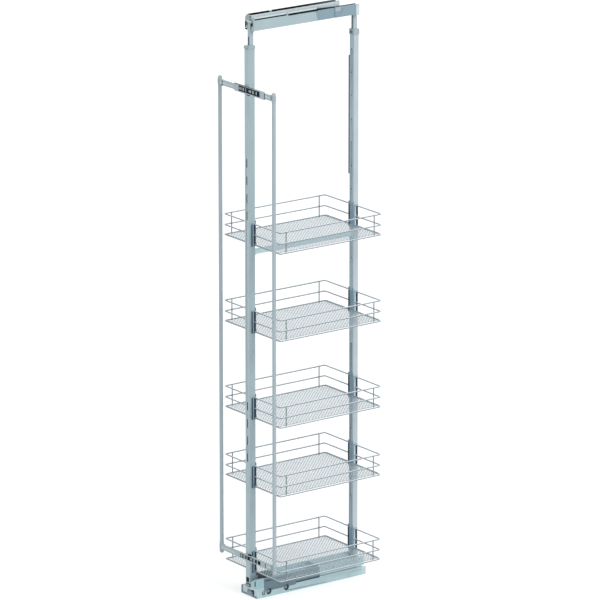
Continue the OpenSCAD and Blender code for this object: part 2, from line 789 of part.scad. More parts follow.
// Channel section along X, open at the back
module cross_channel(x, half, z) {
    difference() {
        block([x[0], cross_front, z - half], [x[1], cross_back, z + half]);
        block([x[0] - over, cross_front + cross_t, z - half + cross_t],
              [x[1] + over, cross_back + over, z + half - cross_t]);
    }
}

// Crossbar: a middle bracket with a window, and an arm to each rod
module crossbar(z, half) {
    ends = [bracket_x - bracket_w / 2, bracket_x + bracket_w / 2];
    window = half - 4;
    difference() {
        union() {
            cross_channel(ends, half, z);
            cross_channel([-arm_end, ends[0] + 4], arm_half, z);
            cross_channel([ends[1] - 4, arm_end], arm_half, z);
        }
        block([bracket_x - window_half, cross_front - over, z - window],
              [bracket_x + window_half, cross_front + cross_t + over, z + window]);
        for (s = [-1, 1])
            bar_y(door_screw_d / 2, s * door_screw_x / 2,
                  [cross_front - over, cross_front + cross_t + over], z);
    }
}

module upper_crossbar() color("LightSteelBlue") crossbar(upper_z, bracket_half);
module lower_crossbar() color("LightSteelBlue") crossbar(lower_z, lower_half);

rod_ends = [lower_z - 16, upper_z + 10];

module rod(x) difference() {
    bar_z(rod_d / 2, x, rod_y, rod_ends);
    bar_z(rod_d / 2 - 1.5, x, rod_y, [rod_ends[0] - over, rod_ends[1] + over]);
}

module rods() color("LightSteelBlue") {
    rod(-rod_span / 2);
    rod(rod_span / 2);
}

// Cap on the end of a rod, with a lug that plugs into the crossbar's arm
module rod_cap(x, z, up) {
    inner = x > 0 ? -1 : 1;
    base = z - up * (cap_h / 2 - 2);
    end = up > 0 ? rod_ends[1] : rod_ends[0];
    lug = [x + inner * (cap_r + 10), x + inner * (cap_r - 2)];
    difference() {
        union() {
            bar_z(cap_r, x, rod_y, up > 0 ? [base, end + 3] : [end - 3, base]);
            translate([x, rod_y, end + up * 3]) scale(1) sphere(r = cap_r);
            block([min(lug), cross_front + cross_t + 0.2, z - arm_half + cross_t + 0.2],
                  [max(lug), rod_y + 3, z + arm_half - cross_t - 0.2]);
        }
        bar_z(rod_d / 2, x, rod_y, up > 0 ? [base - over, end] : [end, base + over]);
    }
}

module rod_caps() color("CadetBlue") for (x = [-rod_span / 2, rod_span / 2]) {
    rod_cap(x, upper_z, 1);
    rod_cap(x, lower_z, -1);
}

// Quarter bend of a ring, round the corner's centre
module ring_bend(x, y, z, turn) {
    translate([x, y, z]) rotate([0, 0, turn]) rotate_extrude(angle = 90)
        translate([ring_corner, 0]) circle(r = ring_wire / 2);
}

hanger_x = side + slip + holder_wing;

// Half of a ring, from the front clip round the right side to the rear clip
module half_ring(z) {
    r = ring_wire / 2;
    bend_x = ring_x - ring_corner;
    bend_y = ring_y - ring_corner;
    bar_x(r, [hanger_x, bend_x], -ring_y, z);
    ring_bend(bend_x, -bend_y, z, -90);
    bar_y(r, ring_x, [-bend_y, bend_y], z);
    ring_bend(bend_x, bend_y, z, 0);
    bar_x(r, [hanger_x, bend_x], ring_y, z);
}

// Welded wire cage of a basket: three rings that end at the holder clips, and four upright wires
module cage(top) color("Gainsboro") {
    levels = [top, top - middle_drop, top - basket_h];
    inset = ring_x - (ring_wire + post_wire) / 2 + weld;
    both_sides() {
        for (z = levels) half_ring(z);
        for (y = [-post_y, post_y]) bar_z(post_wire / 2, inset, y, [top - basket_h, top]);
    }
}

// Quarter circle of points round a corner of a mesh floor
function corner_points(x, y, r, from) =
    [for (i = [0:4]) [x + r * cos(from + i * 22.5), y + r * sin(from + i * 22.5)]];

// Diamond of points that runs the other way round than the outline
function diamond(c, a, b) = [[c[0] - a, c[1]], [c[0], c[1] + b], [c[0] + a, c[1]], [c[0], c[1] - b]];

floor_x = ring_x - (ring_wire + post_wire) / 2 + weld - post_wire / 2 - slip;
floor_y = ring_y + 1;
floor_r = ring_corner;
notch_x = hanger_x + 2;
notch_front = front_back + slip + holder_web + 1.5;
notch_rear = rear_face - slip - holder_web - 1.5;

// Expanded sheet in the bottom of a basket, notched round both uprights
module mesh_floor(top) {
    x = floor_x - floor_r;
    y = floor_y - floor_r;
    outline = concat(
        [[notch_x, -floor_y]], corner_points(x, -y, floor_r, -90), corner_points(x, y, floor_r, 0),
        [[notch_x, floor_y], [notch_x, notch_rear], [-notch_x, notch_rear], [-notch_x, floor_y]],
        corner_points(-x, y, floor_r, 90), corner_points(-x, -y, floor_r, 180),
        [[-notch_x, -floor_y], [-notch_x, notch_front], [notch_x, notch_front]]
    );
    a = mesh_x / 2 - mesh_bar * 0.75;
    b = mesh_y / 2 - mesh_bar * 0.75;
    last_x = floor_x - mesh_bar - a;
    last_y = min(-notch_front, notch_rear) - mesh_bar - b;
    columns = floor(2 * last_x / mesh_x);
    rows = floor(2 * last_y / mesh_y);
    centres = [for (i = [-columns:columns], j = [-rows:rows])
        if ((i + j) % 2 == 0) [i * mesh_x / 2, j * mesh_y / 2]];
    holes = [for (c = centres) each diamond(c, a, b)];
    count = len(outline);
    color("Gainsboro") translate([0, 0, top - basket_h + ring_wire / 2]) linear_extrude(height = floor_t)
        polygon(
            concat(outline, holes),
            concat([[for (i = [0:count - 1]) i]],
                   [for (k = [0:len(centres) - 1]) [for (i = [0:3]) count + 4 * k + i]])
        );
}

// Clip round one upright: face is the upright's face towards the basket, inward the way to the basket
module holder(face, inward, top) {
    z = [top - basket_h - 5, top - basket_h - 5 + holder_h];
    web = [face + inward * slip, face + inward * (slip + holder_web)];
    tip = face - inward * holder_reach;
    out = side + slip + holder_wing;
    difference() {
        union() {
            block([-out, min(tip, web[1]), z[0]], [out, max(tip, web[1]), z[1]]);
            both_sides() block([out - 7, min(web), z[1] - over], [out, max(web), z[1] + holder_tab]);
        }
        block([-side - slip, min(tip - inward, web[0]), z[0] - over],
              [side + slip, max(tip - inward, web[0]), z[1] + over]);
        both_sides() for (groove = [tip + inward * 2.5, tip + inward * 12])
            block([out - 1, groove - 1.2, z[0] + 5], [out + over, groove + 1.2, z[1] + over]);
        block([-8, min(web[1] - inward * holder_web / 2, web[1] + inward), z[0] + 10],
              [8, max(web[1] - inward * holder_web / 2, web[1] + inward), z[1] - 26]);
    }
}

module holders(top) color("SlateGray") {
    holder(front_back, 1, top);
    holder(rear_face, -1, top);
}

module basket_1() cage(tops[0]);
module basket_2() cage(tops[1]);
module basket_3() cage(tops[2]);
module basket_4() cage(tops[3]);
module basket_5() cage(tops[4]);
module basket_1_floor() mesh_floor(tops[0]);
module basket_2_floor() mesh_floor(tops[1]);
module basket_3_floor() mesh_floor(tops[2]);
module basket_4_floor() mesh_floor(tops[3]);
module basket_5_floor() mesh_floor(tops[4]);
module basket_1_holders() holders(tops[0]);
module basket_2_holders() holders(tops[1]);
module basket_3_holders() holders(tops[2]);
module basket_4_holders() holders(tops[3]);
module basket_5_holders() holders(tops[4]);

base_track();
roller_brackets();
support_rollers_front();
support_rollers_back();
soft_close_unit();
damper();
front_guide();
rear_buffer();
track_screws();
mid_runner();
mid_axles();
mid_rear_rollers();
beam_rollers_front();
beam_rollers_back();
base_beam();
beam_cover();
uplift_guide();
front_cover();
front_upright();
rear_upright();
front_foot();
upright_brackets();
strut();
collars();
frame_bolts();
side_strip();
door_anchors();
front_inner_tube();
rear_inner_tube();
top_slide();
top_covers();
top_end_plate();
top_rear_bracket();
slide_glides();
top_bolts();
top_mid_rail();
mid_glides();
top_rail();
rail_glides();
rail_liner();
door_adjusters();
upper_crossbar();
lower_crossbar();
rods();
rod_caps();
basket_1();
basket_2();
basket_3();
basket_4();
basket_5();
basket_1_floor();
basket_2_floor();
basket_3_floor();
basket_4_floor();
basket_5_floor();
basket_1_holders();
basket_2_holders();
basket_3_holders();
basket_4_holders();
basket_5_holders();
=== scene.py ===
# %% [markdown]
# # A pull out pantry frame
# This lesson dresses a tall larder pull-out: a floor runner and a top runner, a moving frame of two
# uprights between them, five wire baskets and a slim carrier of two rods for the cabinet door.
# The solids come packed from the construction model, in metres. Blender adds what a solid model
# leaves out: the fine mesh of the basket floors, rounded sheet edges, weld beads, small trims and
# the finishes. Every new surface is worked out with numpy as whole arrays.

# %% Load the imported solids
import math

import bpy
import numpy as np
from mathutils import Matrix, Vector


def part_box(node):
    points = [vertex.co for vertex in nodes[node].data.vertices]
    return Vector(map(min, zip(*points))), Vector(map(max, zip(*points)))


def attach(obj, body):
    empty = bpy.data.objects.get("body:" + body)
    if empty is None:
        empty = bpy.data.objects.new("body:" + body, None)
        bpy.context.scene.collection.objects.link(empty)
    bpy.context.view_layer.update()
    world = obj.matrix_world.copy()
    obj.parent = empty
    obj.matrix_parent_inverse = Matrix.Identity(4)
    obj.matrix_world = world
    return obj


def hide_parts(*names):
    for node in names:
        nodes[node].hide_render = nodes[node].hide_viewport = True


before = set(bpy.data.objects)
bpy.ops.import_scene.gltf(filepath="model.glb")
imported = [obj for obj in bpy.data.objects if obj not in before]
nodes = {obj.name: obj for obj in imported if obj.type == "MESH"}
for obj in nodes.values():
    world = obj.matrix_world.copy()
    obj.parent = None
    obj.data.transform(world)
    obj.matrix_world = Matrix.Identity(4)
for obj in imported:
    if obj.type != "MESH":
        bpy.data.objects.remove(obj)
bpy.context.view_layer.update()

# %% [markdown]
# ## The camera
# The picture was taken from far away with a long lens, from the front right and a little above.
# Matching the corners of the baskets and the uprights gives the direction, the distance and the
# focal length; a very small sideways shift puts the frame where it stands in the picture. A camera
# could be aimed by a constraint, but its turn is worked out here, so that the scene needs no helper.

# %% Camera at the picture's angle
AZIMUTH = math.radians(53.70)
ELEVATION = math.radians(15.78)
DISTANCE = 20.53
TARGET = Vector((0.0, 0.0, 1.067))
SENSOR = 36.0
FOCAL_PIXELS = 5743.55
IMAGE = 600.0
SIDE_SHIFT = -2.84
FAR_CLIP = 200.0


def direction_from(azimuth, elevation):
    """Unit vector from the object towards a viewer: azimuth 0 stands at -Y, 90 degrees at +X."""
    flat = math.cos(elevation)
    return Vector((math.sin(azimuth) * flat, -math.cos(azimuth) * flat, math.sin(elevation)))


camera_data = bpy.data.cameras.new("camera")
camera_data.sensor_width = SENSOR
camera_data.lens = FOCAL_PIXELS * SENSOR / IMAGE
camera_data.shift_x = SIDE_SHIFT / IMAGE
camera_data.clip_end = FAR_CLIP
camera = bpy.data.objects.new("camera", camera_data)
bpy.context.scene.collection.objects.link(camera)
towards = direction_from(AZIMUTH, ELEVATION)
camera.location = TARGET + DISTANCE * towards
camera.rotation_euler = (-towards).to_track_quat("-Z", "Y").to_euler()
bpy.context.scene.camera = camera
print("lens:", round(camera_data.lens, 1), "mm")

# %% [markdown]
# ## Light and floor
# The picture has a bright, even studio light and a white ground. A pale world gives the even part,
# and one wide sun from the right gives the sides of the uprights their brighter look, with a weak
# sun from the front. More light would make the ground white too, but it would bleach the object. So
# the world and the floor look white to the camera and in reflections only.

# %% Make nodes by name
def node_maker(owner):
    """Function that adds nodes to the emptied node tree of a material or world. An input is given by
    its name, with _ for a space, or by its number, as in _0; a value that is a socket is linked."""
    owner.use_nodes = True
    tree = owner.node_tree
    tree.nodes.clear()

    def add(kind, settings=None, **inputs):
        node = tree.nodes.new(kind)
        for key, value in (settings or {}).items():
            setattr(node, key, value)
        for key, value in inputs.items():
            number = key[1:]
            socket = node.inputs[int(number) if number.isdigit() else key.replace("_", " ")]
            if isinstance(value, bpy.types.NodeSocket):
                tree.links.new(value, socket)
            else:
                socket.default_value = value
        return node

    return add


def seen_directly(add):
    """Socket that is 1 for camera, glossy and transmission rays: the largest of the three marks."""
    path = add("ShaderNodeLightPath")
    seen = add("ShaderNodeMath", {"operation": "MAXIMUM"}, _0=path.outputs["Is Camera Ray"],
               _1=path.outputs["Is Glossy Ray"])
    return add("ShaderNodeMath", {"operation": "MAXIMUM"}, _0=seen.outputs[0],
               _1=path.outputs["Is Transmission Ray"]).outputs[0]


# %% World and suns
WORLD_LIGHT = 0.60
WORLD_TINT = (0.97, 0.99, 1.0, 1.0)
WHITE = (1.0, 1.0, 1.0, 1.0)
# Name, strength, azimuth, elevation and softness of each sun.
SUNS = [("key_sun", 1.45, 96.0, 40.0, 25.0), ("front_sun", 0.28, 5.0, 35.0, 40.0)]
world = bpy.data.worlds.new("studio")
bpy.context.scene.world = world
add = node_maker(world)
soft = add("ShaderNodeBackground", Color=WORLD_TINT, Strength=WORLD_LIGHT)
white = add("ShaderNodeBackground", Color=WHITE, Strength=1.0)
mixed = add("ShaderNodeMixShader", _0=seen_directly(add), _1=soft.outputs[0], _2=white.outputs[0])
add("ShaderNodeOutputWorld", Surface=mixed.outputs[0])


def sun_lamp(name, strength, azimuth, elevation, softness):
    """Sun whose light comes from that azimuth and elevation; softness is its width, all in degrees."""
    data = bpy.data.lights.new(name, "SUN")
    data.energy = strength
    data.angle = math.radians(softness)
    lamp = bpy.data.objects.new(name, data)
    from_side = direction_from(math.radians(azimuth), math.radians(elevation))
    lamp.rotation_euler = (-from_side).to_track_quat("-Z", "Y").to_euler()
    bpy.context.scene.collection.objects.link(lamp)


for row in SUNS:
    sun_lamp(*row)
bpy.context.scene.view_settings.view_transform = "Standard"

# %% [markdown]
# ## Shells from arrays
# Most small parts are one of two things: a closed section carried in a straight line, such as a
# strip, or a profile turned round an axis, such as a washer. Modifiers could turn and extrude them,
# but both are a row of rings joined to the next ring by four-sided faces, so one function makes the
# faces for all of them and nothing is left to apply. A shell is a pair of points and groups of faces.

# %% Rings to shells
def lofted(rings, closed=False):
    """Shell through rings (m x n x 3): face i of ring j joins points i and i + 1 of rings j and j + 1.
    The first and the last ring are filled, or joined to each other when closed."""
    m, n = rings.shape[:2]
    here, ahead = np.arange(n), np.roll(np.arange(n), -1)
    ring = np.arange(m if closed else m - 1)[:, None] * n
    after = (ring + n) % (m * n)
    sides = np.stack([ring + here, ring + ahead, after + ahead, after + here], axis=-1).reshape(-1, 4)
    caps = [] if closed else [np.stack([here[::-1], (m - 1) * n + here])]
    return rings.reshape(-1, 3), [sides, *caps]


def straight(section, axis, start, end):
    """Section (n x 2, in the two axes that follow the given one) carried from start to end."""
    rings = np.zeros((2, len(section), 3))
    rings[..., (axis + 1) % 3] = section[:, 0]
    rings[..., (axis + 2) % 3] = section[:, 1]
    rings[..., axis] = np.array([[start], [end]])
    return lofted(rings)


def chamfered(low, high, corner):
    """Rectangle between two opposite points with its corners cut off at 45 degrees: eight rows."""
    (a, b), (c, d) = low, high
    return np.array([[a + corner, b], [c - corner, b], [c, b + corner], [c, d - corner],
                     [c - corner, d], [a + corner, d], [a, d - corner], [a, b + corner]])


def turned(profile, axis, segments, closed=False):
    """Profile of (distance along the axis, radius) rows, carried round the axis in even steps."""
    profile = np.asarray(profile)
    angle = np.linspace(0.0, 2.0 * math.pi, segments, endpoint=False)
    rings = np.zeros((len(profile), segments, 3))
    rings[..., axis] = profile[:, :1]
    rings[..., (axis + 1) % 3] = profile[:, 1:] * np.cos(angle)
    rings[..., (axis + 2) % 3] = profile[:, 1:] * np.sin(angle)
    return lofted(rings, closed)


print("points in a ten-sided pin:", len(turned([[0.0, 1.0], [1.0, 1.0]], 2, 10)[0]))

# %% Copies and groups of shells
def copies(shell, places):
    """The shell once at each place (p x 3): points shifted, faces counted on."""
    points, groups = shell
    places = np.asarray(places, float).reshape(-1, 3)
    step = np.arange(len(places))[:, None, None] * len(points)
    moved = (places[:, None, :] + points[None]).reshape(-1, 3)
    return moved, [(step + group[None]).reshape(-1, group.shape[1]) for group in groups]


def signed_volume(points, groups):
    """Volume inside the faces, from the pyramids that each face's triangles make with the origin."""
    fans = [np.stack([np.repeat(g[:, :1], g.shape[1] - 2, axis=1), g[:, 1:-1], g[:, 2:]], axis=-1)
            for g in groups]
    a, b, c = (points[np.concatenate([f.reshape(-1, 3) for f in fans])[:, i]] for i in range(3))
    return float(np.sum(a * np.cross(b, c)) / 6.0)


def outward(shell):
    """The shell with its faces' order reversed if they enclose less than nothing."""
    points, groups = shell
    return (points, [group[:, ::-1] for group in groups]) if signed_volume(points, groups) < 0.0 else shell


def together(*shells):
    """Several shells as one, each turned outwards first: points in a row, faces counted on."""
    shells = [outward(shell) for shell in shells]
    first = np.cumsum([0] + [len(points) for points, groups in shells])
    groups = [group + first[i] for i, (points, faces) in enumerate(shells) for group in faces]
    return np.concatenate([points for points, groups in shells]), groups


block = straight(chamfered((0.0, 0.0), (1.0, 1.0), 0.1), 2, 0.0, 1.0)
print("volume of a unit block with four cut edges:", round(signed_volume(*outward(block)), 3))

# %% Shells to pieces
def piece_from(name, shell, coat, smooth=False):
    """Object at the origin with the shell's mesh, turned so that its faces point outwards."""
    points, groups = outward(shell)
    mesh = bpy.data.meshes.new(name)
    mesh.from_pydata(points.tolist(), [], [face for group in groups for face in group.tolist()])
    mesh.update()
    if smooth:
        mesh.shade_smooth()
    mesh.materials.append(coat)
    obj = bpy.data.objects.new(name, mesh)
    bpy.context.scene.collection.objects.link(obj)
    return obj


def fitted(name, shell, coat, body, smooth=False):
    """Piece that moves with a body of the frame and carries the given finish."""
    piece = piece_from(name, shell, coat, smooth)
    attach(piece, body)
    return piece


# %% The floor under the frame
FLOOR_HALF = 60.0
FLOOR_TONE = (0.55, 0.55, 0.55, 1.0)
FLOOR_GLOW = 0.62
corners = np.array([[-1, -1, 0], [1, -1, 0], [1, 1, 0], [-1, 1, 0]]) * FLOOR_HALF
paper = bpy.data.materials.new("white_paper")
add = node_maker(paper)
matt = add("ShaderNodeBsdfDiffuse", Color=FLOOR_TONE)
glow = add("ShaderNodeEmission", Color=WHITE, Strength=FLOOR_GLOW)
lit = add("ShaderNodeAddShader", _0=matt.outputs[0], _1=glow.outputs[0])
mixed = add("ShaderNodeMixShader", _0=seen_directly(add), _1=matt.outputs[0], _2=lit.outputs[0])
add("ShaderNodeOutputMaterial", Surface=mixed.outputs[0])
piece_from("studio_floor", (corners, [np.array([[0, 1, 2, 3]])]), paper)
print("floor:", 2 * FLOOR_HALF, "m wide")

# %% [markdown]
# ## Finishes
# A powder coat is not one flat grey. Its flakes make the tone vary over less than a millimetre, the
# spray makes it vary over a hand's width, and its skin is slightly pebbled. Zinc plate shows rolling
# streaks along the sheet, and moulded plastic has a fine matt grain. Painted textures could show that,
# but they need unwrapping, so one function makes all finishes from two noise patterns on the object's
# own coordinates. Some finishes also paint light and shade: the rear upright's sides are painted lighter
# and the front upright's sides darker than their fronts, some pieces change towards the rear, and the
# wires get painted shade underneath. A finish may therefore change past a distance from the middle,
# between two places along the frame, or where the surface doesn't face up.

# %% One recipe for coats, plates and plastics
BROAD_GRAIN = 9.0
BROAD_SHARE = 0.5
NOISE_RANGE = (0.3, 0.7)
BLUR = 0.0001
LIFT = 0.0005
FACES_UP, FACES_AWAY = 0.7, 0.2


def finish(name, dark, light, grain, stretch=(1.0, 1.0, 1.0), rough=(0.35, 0.5), metallic=0.0,
           bump=0.04, side=None, along=None, under=None, shine=0.5):
    """Colour runs from dark to light with a fine noise of the given grain (cells per metre) plus a
    broad noise; roughness follows the fine noise, and the same noise lifts the surface a little.
    side = (distance, factor) multiplies the colour by factor where |x| is past the distance, which paints
    light and shade on side walls; along = (start, end, factor) does so between two places in y, and under
    where the surface doesn't face up, which paints shade on the underside.
    shine is the strength of the clear reflection."""
    material = bpy.data.materials.new(name)
    add = node_maker(material)
    where = add("ShaderNodeTexCoord")
    mapped = add("ShaderNodeMapping", Vector=where.outputs["Object"], Scale=stretch)
    fine = add("ShaderNodeTexNoise", Vector=mapped.outputs[0], Scale=grain, Detail=3.0, Roughness=0.6)
    broad = add("ShaderNodeTexNoise", Vector=where.outputs["Object"], Scale=BROAD_GRAIN, Detail=2.0)
    tone = add("ShaderNodeMix", {"data_type": "FLOAT"}, _0=BROAD_SHARE, _2=fine.outputs[0],
               _3=broad.outputs[0])
    ramp = add("ShaderNodeValToRGB", Fac=tone.outputs[0])
    for end, position, shade in zip((0, 1), NOISE_RANGE, (dark, light)):
        ramp.color_ramp.elements[end].position = position
        ramp.color_ramp.elements[end].color = (*shade, 1.0)
    colour = ramp.outputs[0]

    def shaded(value, start, end, factor):
        """Colour times 1 where the value is at start, times factor (one or three numbers) at end."""
        amount = add("ShaderNodeMapRange", Value=value, From_Min=start, From_Max=end)
        tinted = add("ShaderNodeVectorMath", {"operation": "MULTIPLY"}, _0=colour,
                     _1=np.broadcast_to(factor, 3).tolist())
        return add("ShaderNodeMix", {"data_type": "RGBA"}, _0=amount.outputs[0], _6=colour,
                   _7=tinted.outputs[0]).outputs[2]

    place = add("ShaderNodeSeparateXYZ", Vector=where.outputs["Object"])
    # Painted light and shade on side walls: the front upright's sides darker, the rear upright's sides
    # lighter.
    if side:
        far = add("ShaderNodeMath", {"operation": "ABSOLUTE"}, _0=place.outputs[0])
        colour = shaded(far.outputs[0], side[0] - BLUR, side[0] + BLUR, side[1])
    # Fades the rail liner's painted shadow from black to grey towards the rear, and darkens the bolts
    # towards the rear.
    if along:
        colour = shaded(place.outputs[1], *along)
    # Painted shade: the colour is darkened where the surface faces down, as on the wires' undersides.
    if under:
        facing = add("ShaderNodeNewGeometry")
        facing = add("ShaderNodeSeparateXYZ", Vector=facing.outputs["Normal"])
        colour = shaded(facing.outputs[2], FACES_UP, FACES_AWAY, under)
    gloss = add("ShaderNodeMapRange", Value=fine.outputs[0], From_Min=NOISE_RANGE[0],
                From_Max=NOISE_RANGE[1], To_Min=rough[0], To_Max=rough[1])
    lift = add("ShaderNodeBump", Strength=bump, Distance=LIFT, Height=fine.outputs[0])
    skin = add("ShaderNodeBsdfPrincipled", Base_Color=colour, Metallic=metallic,
               Roughness=gloss.outputs[0], Specular_IOR_Level=shine, Normal=lift.outputs[0])
    add("ShaderNodeOutputMaterial", Surface=skin.outputs[0])
    return material


# %% The coats of the metal parts
COAT = 900.0
WALL_X = 0.0123
silver_coat = finish("silver_coat", (0.42, 0.52, 0.56), (0.52, 0.62, 0.66), COAT, metallic=0.2)
# The front upright's side walls are painted darker than its front: painted shade.
front_coat = finish("front_coat", (0.44, 0.57, 0.61), (0.54, 0.68, 0.72), COAT, metallic=0.2,
                    side=(WALL_X, 0.84))
# The rear upright's side walls are painted lighter and warmer than its front: painted light.
rear_coat = finish("rear_coat", (0.395, 0.52, 0.59), (0.49, 0.62, 0.69), COAT, metallic=0.2,
                   side=(WALL_X, (1.23, 1.10, 1.03)))
# A darker copy of the silver coat for the rods: painted shade that tones down the key sun on them.
rod_coat = finish("rod_coat", (0.39, 0.49, 0.53), (0.48, 0.575, 0.615), COAT, metallic=0.2)
track_coat = finish("track_coat", (0.53, 0.72, 0.755), (0.62, 0.82, 0.86), COAT, metallic=0.15)
# A lighter copy of the track coat: painted light on the beam and the strut, where the baskets shade them.
beam_coat = finish("beam_coat", (0.62, 0.82, 0.86), (0.71, 0.90, 0.93), COAT, metallic=0.15)
foot_coat = finish("foot_coat", (0.415, 0.645, 0.715), (0.50, 0.74, 0.81), COAT, metallic=0.15)
# On the arm beads this pale coat also paints a highlight line.
bead_coat = finish("bead_coat", (0.66, 0.79, 0.86), (0.76, 0.88, 0.94), COAT, metallic=0.1)
cover_coat = finish("cover_coat", (0.405, 0.525, 0.555), (0.485, 0.61, 0.64), COAT, metallic=0.15)
pale_coat = finish("pale_coat", (0.64, 0.73, 0.75), (0.74, 0.83, 0.85), COAT, metallic=0.15)
slide_coat = finish("slide_coat", (0.235, 0.345, 0.41), (0.30, 0.42, 0.495), COAT, metallic=0.2)
bolt_steel = finish("bolt_steel", (0.42, 0.51, 0.55), (0.52, 0.61, 0.65), 400.0, metallic=0.3,
                    along=(-0.1, 0.1, 0.3))
zinc_plate = finish("zinc_plate", (0.42, 0.48, 0.52), (0.62, 0.68, 0.72), 260.0, (1.0, 0.06, 1.0),
                    (0.25, 0.42), 0.85, 0.06)
# The wires, rims and beads are darkened underneath: painted shade, beside their own coat.
wire_coat = finish("wire_coat", (0.68, 0.77, 0.81), (0.78, 0.87, 0.91), 700.0, metallic=0.1,
                   under=(0.33, 0.35, 0.36))
mesh_coat = finish("mesh_coat", (0.31, 0.40, 0.45), (0.41, 0.50, 0.55), 700.0, metallic=0.1)
print("coats:", [m.name for m in bpy.data.materials if m.name.endswith("_coat")])

# %% The plastics and rubbers
SATIN = {"grain": 1300.0, "rough": (0.4, 0.55), "bump": 0.06}
GRAINED = {"grain": 1500.0, "rough": (0.45, 0.6), "bump": 0.08}
MATT = {"grain": 1400.0, "rough": (0.5, 0.7), "bump": 0.08}
BLACK = (0.006, 0.009, 0.012), (0.014, 0.019, 0.024)
clip_plastic = finish("clip_plastic", (0.205, 0.32, 0.42), (0.30, 0.44, 0.55), **GRAINED)
housing_plastic = finish("housing_plastic", (0.165, 0.25, 0.31), (0.23, 0.335, 0.385), **GRAINED)
cap_plastic = finish("cap_plastic", (0.36, 0.47, 0.51), (0.46, 0.58, 0.62), **SATIN)
tip_plastic = finish("tip_plastic", (0.44, 0.52, 0.53), (0.54, 0.62, 0.63), **SATIN)
black_plastic = finish("black_plastic", *BLACK, **MATT, shine=0.15)
# Black with a fade to grey towards the rear: the painted shadow inside the top rail's channel.
rail_shade_black = finish("rail_shade_black", *BLACK, **MATT, along=(0.02, 0.15, 14.0), shine=0.15)
rib_plastic = finish("rib_plastic", (0.026, 0.038, 0.050), (0.045, 0.060, 0.075), **MATT, shine=0.2)
liner_plastic = finish("liner_plastic", (0.085, 0.105, 0.125), (0.125, 0.15, 0.17), **MATT, shine=0.2)
nylon = finish("nylon", (0.72, 0.74, 0.74), (0.82, 0.84, 0.83), 600.0, bump=0.03)
roller_plastic = finish("roller_plastic", (0.10, 0.13, 0.15), (0.16, 0.19, 0.21), 1200.0, bump=0.05)
rubber = finish("rubber", (0.02, 0.02, 0.02), (0.035, 0.035, 0.035), 1100.0, rough=(0.6, 0.8), bump=0.1)
print("materials:", len(bpy.data.materials))

# %% [markdown]
# Each solid takes the finish of the real piece. The slots could be filled by hand, but a table is easier
# to read and to change: it lists the solids of each finish, and a solid that it doesn't name is silver.

# %% Paint the solids
BASKETS = range(1, 6)
painted = {
    front_coat: ["front_upright"],
    rear_coat: ["rear_upright"],
    rod_coat: ["rods"],
    track_coat: ["base_track"],
    beam_coat: ["base_beam", "beam_cover", "strut"],
    foot_coat: ["front_cover"],
    cover_coat: ["top_covers"],
    pale_coat: ["top_rail"],
    slide_coat: ["top_slide", "top_rear_bracket", "top_bolts", "roller_brackets"],
    bolt_steel: ["frame_bolts"],
    zinc_plate: ["mid_runner", "mid_axles", "upright_brackets", "door_anchors", "track_screws"],
    wire_coat: [f"basket_{n}" for n in BASKETS],
    mesh_coat: [f"basket_{n}_floor" for n in BASKETS],
    clip_plastic: [f"basket_{n}_holders" for n in BASKETS],
    housing_plastic: ["soft_close_unit", "damper"],
    cap_plastic: ["collars"],
    tip_plastic: ["rod_caps"],
    # The top middle rail is black as painted shade in the gap beside the covers.
    black_plastic: ["front_foot", "side_strip", "door_adjusters", "top_mid_rail"],
    # The rail liner carries the painted shadow of the rail's channel.
    rail_shade_black: ["rail_liner"],
    nylon: ["front_guide", "uplift_guide", "slide_glides", "mid_glides", "rail_glides"],
    roller_plastic: ["support_rollers_front", "support_rollers_back", "mid_rear_rollers",
                     "beam_rollers_front", "beam_rollers_back"],
    rubber: ["rear_buffer"],
}
finish_of = {name: material for material, names in painted.items() for name in names}
for name, solid in nodes.items():
    solid.data.materials.clear()
    solid.data.materials.append(finish_of.get(name, silver_coat))
print("silver coat:", [n for n in nodes if n not in finish_of])

# %% [markdown]
# ## Basket floors
# The floors are expanded sheet: rows of slits are cut and the sheet is pulled, so each row becomes a
# zigzag strip that meets the next row at its peaks. A surface could hold thousands of holes only with
# a very heavy mesh, so each strip is a flat bar carried along its zigzag instead, four points to each
# bend. A plain rim holds the sheet: the floor's outline, with its notches at the uprights, is moved
# inwards by the rim's width, and the band between the two loops gets the sheet's thickness.

# %% Zigzag rows of an expanded sheet
CELL_X = 0.0134
CELL_Y = 0.0138
STRAND = 0.0021
STRAND_THICK = 0.0003
STRAND_TILT = 0.0002
RIM = 0.0022
NOTCH_X = 0.0172
NOTCH_FRONT = -0.2153
NOTCH_REAR = 0.2123
FLOOR_CORNER = 0.007


def inside(points, low, high, margin):
    """True where a point lies inside the floor's outline less a margin, outside both notches."""
    x, y = points[..., 0], points[..., 1]
    box = (x > low[0] + margin) & (x < high[0] - margin) & (y > low[1] + margin) & (y < high[1] - margin)
    at_upright = np.abs(x) < NOTCH_X + margin
    notch = at_upright & ((y < NOTCH_FRONT + margin) | (y > NOTCH_REAR - margin))
    past_x = np.maximum(np.abs(x) - (high[0] - FLOOR_CORNER), 0.0)
    past_y = np.maximum(np.abs(y) - (high[1] - FLOOR_CORNER), 0.0)
    return box & ~notch & (np.hypot(past_x, past_y) < FLOOR_CORNER - margin)


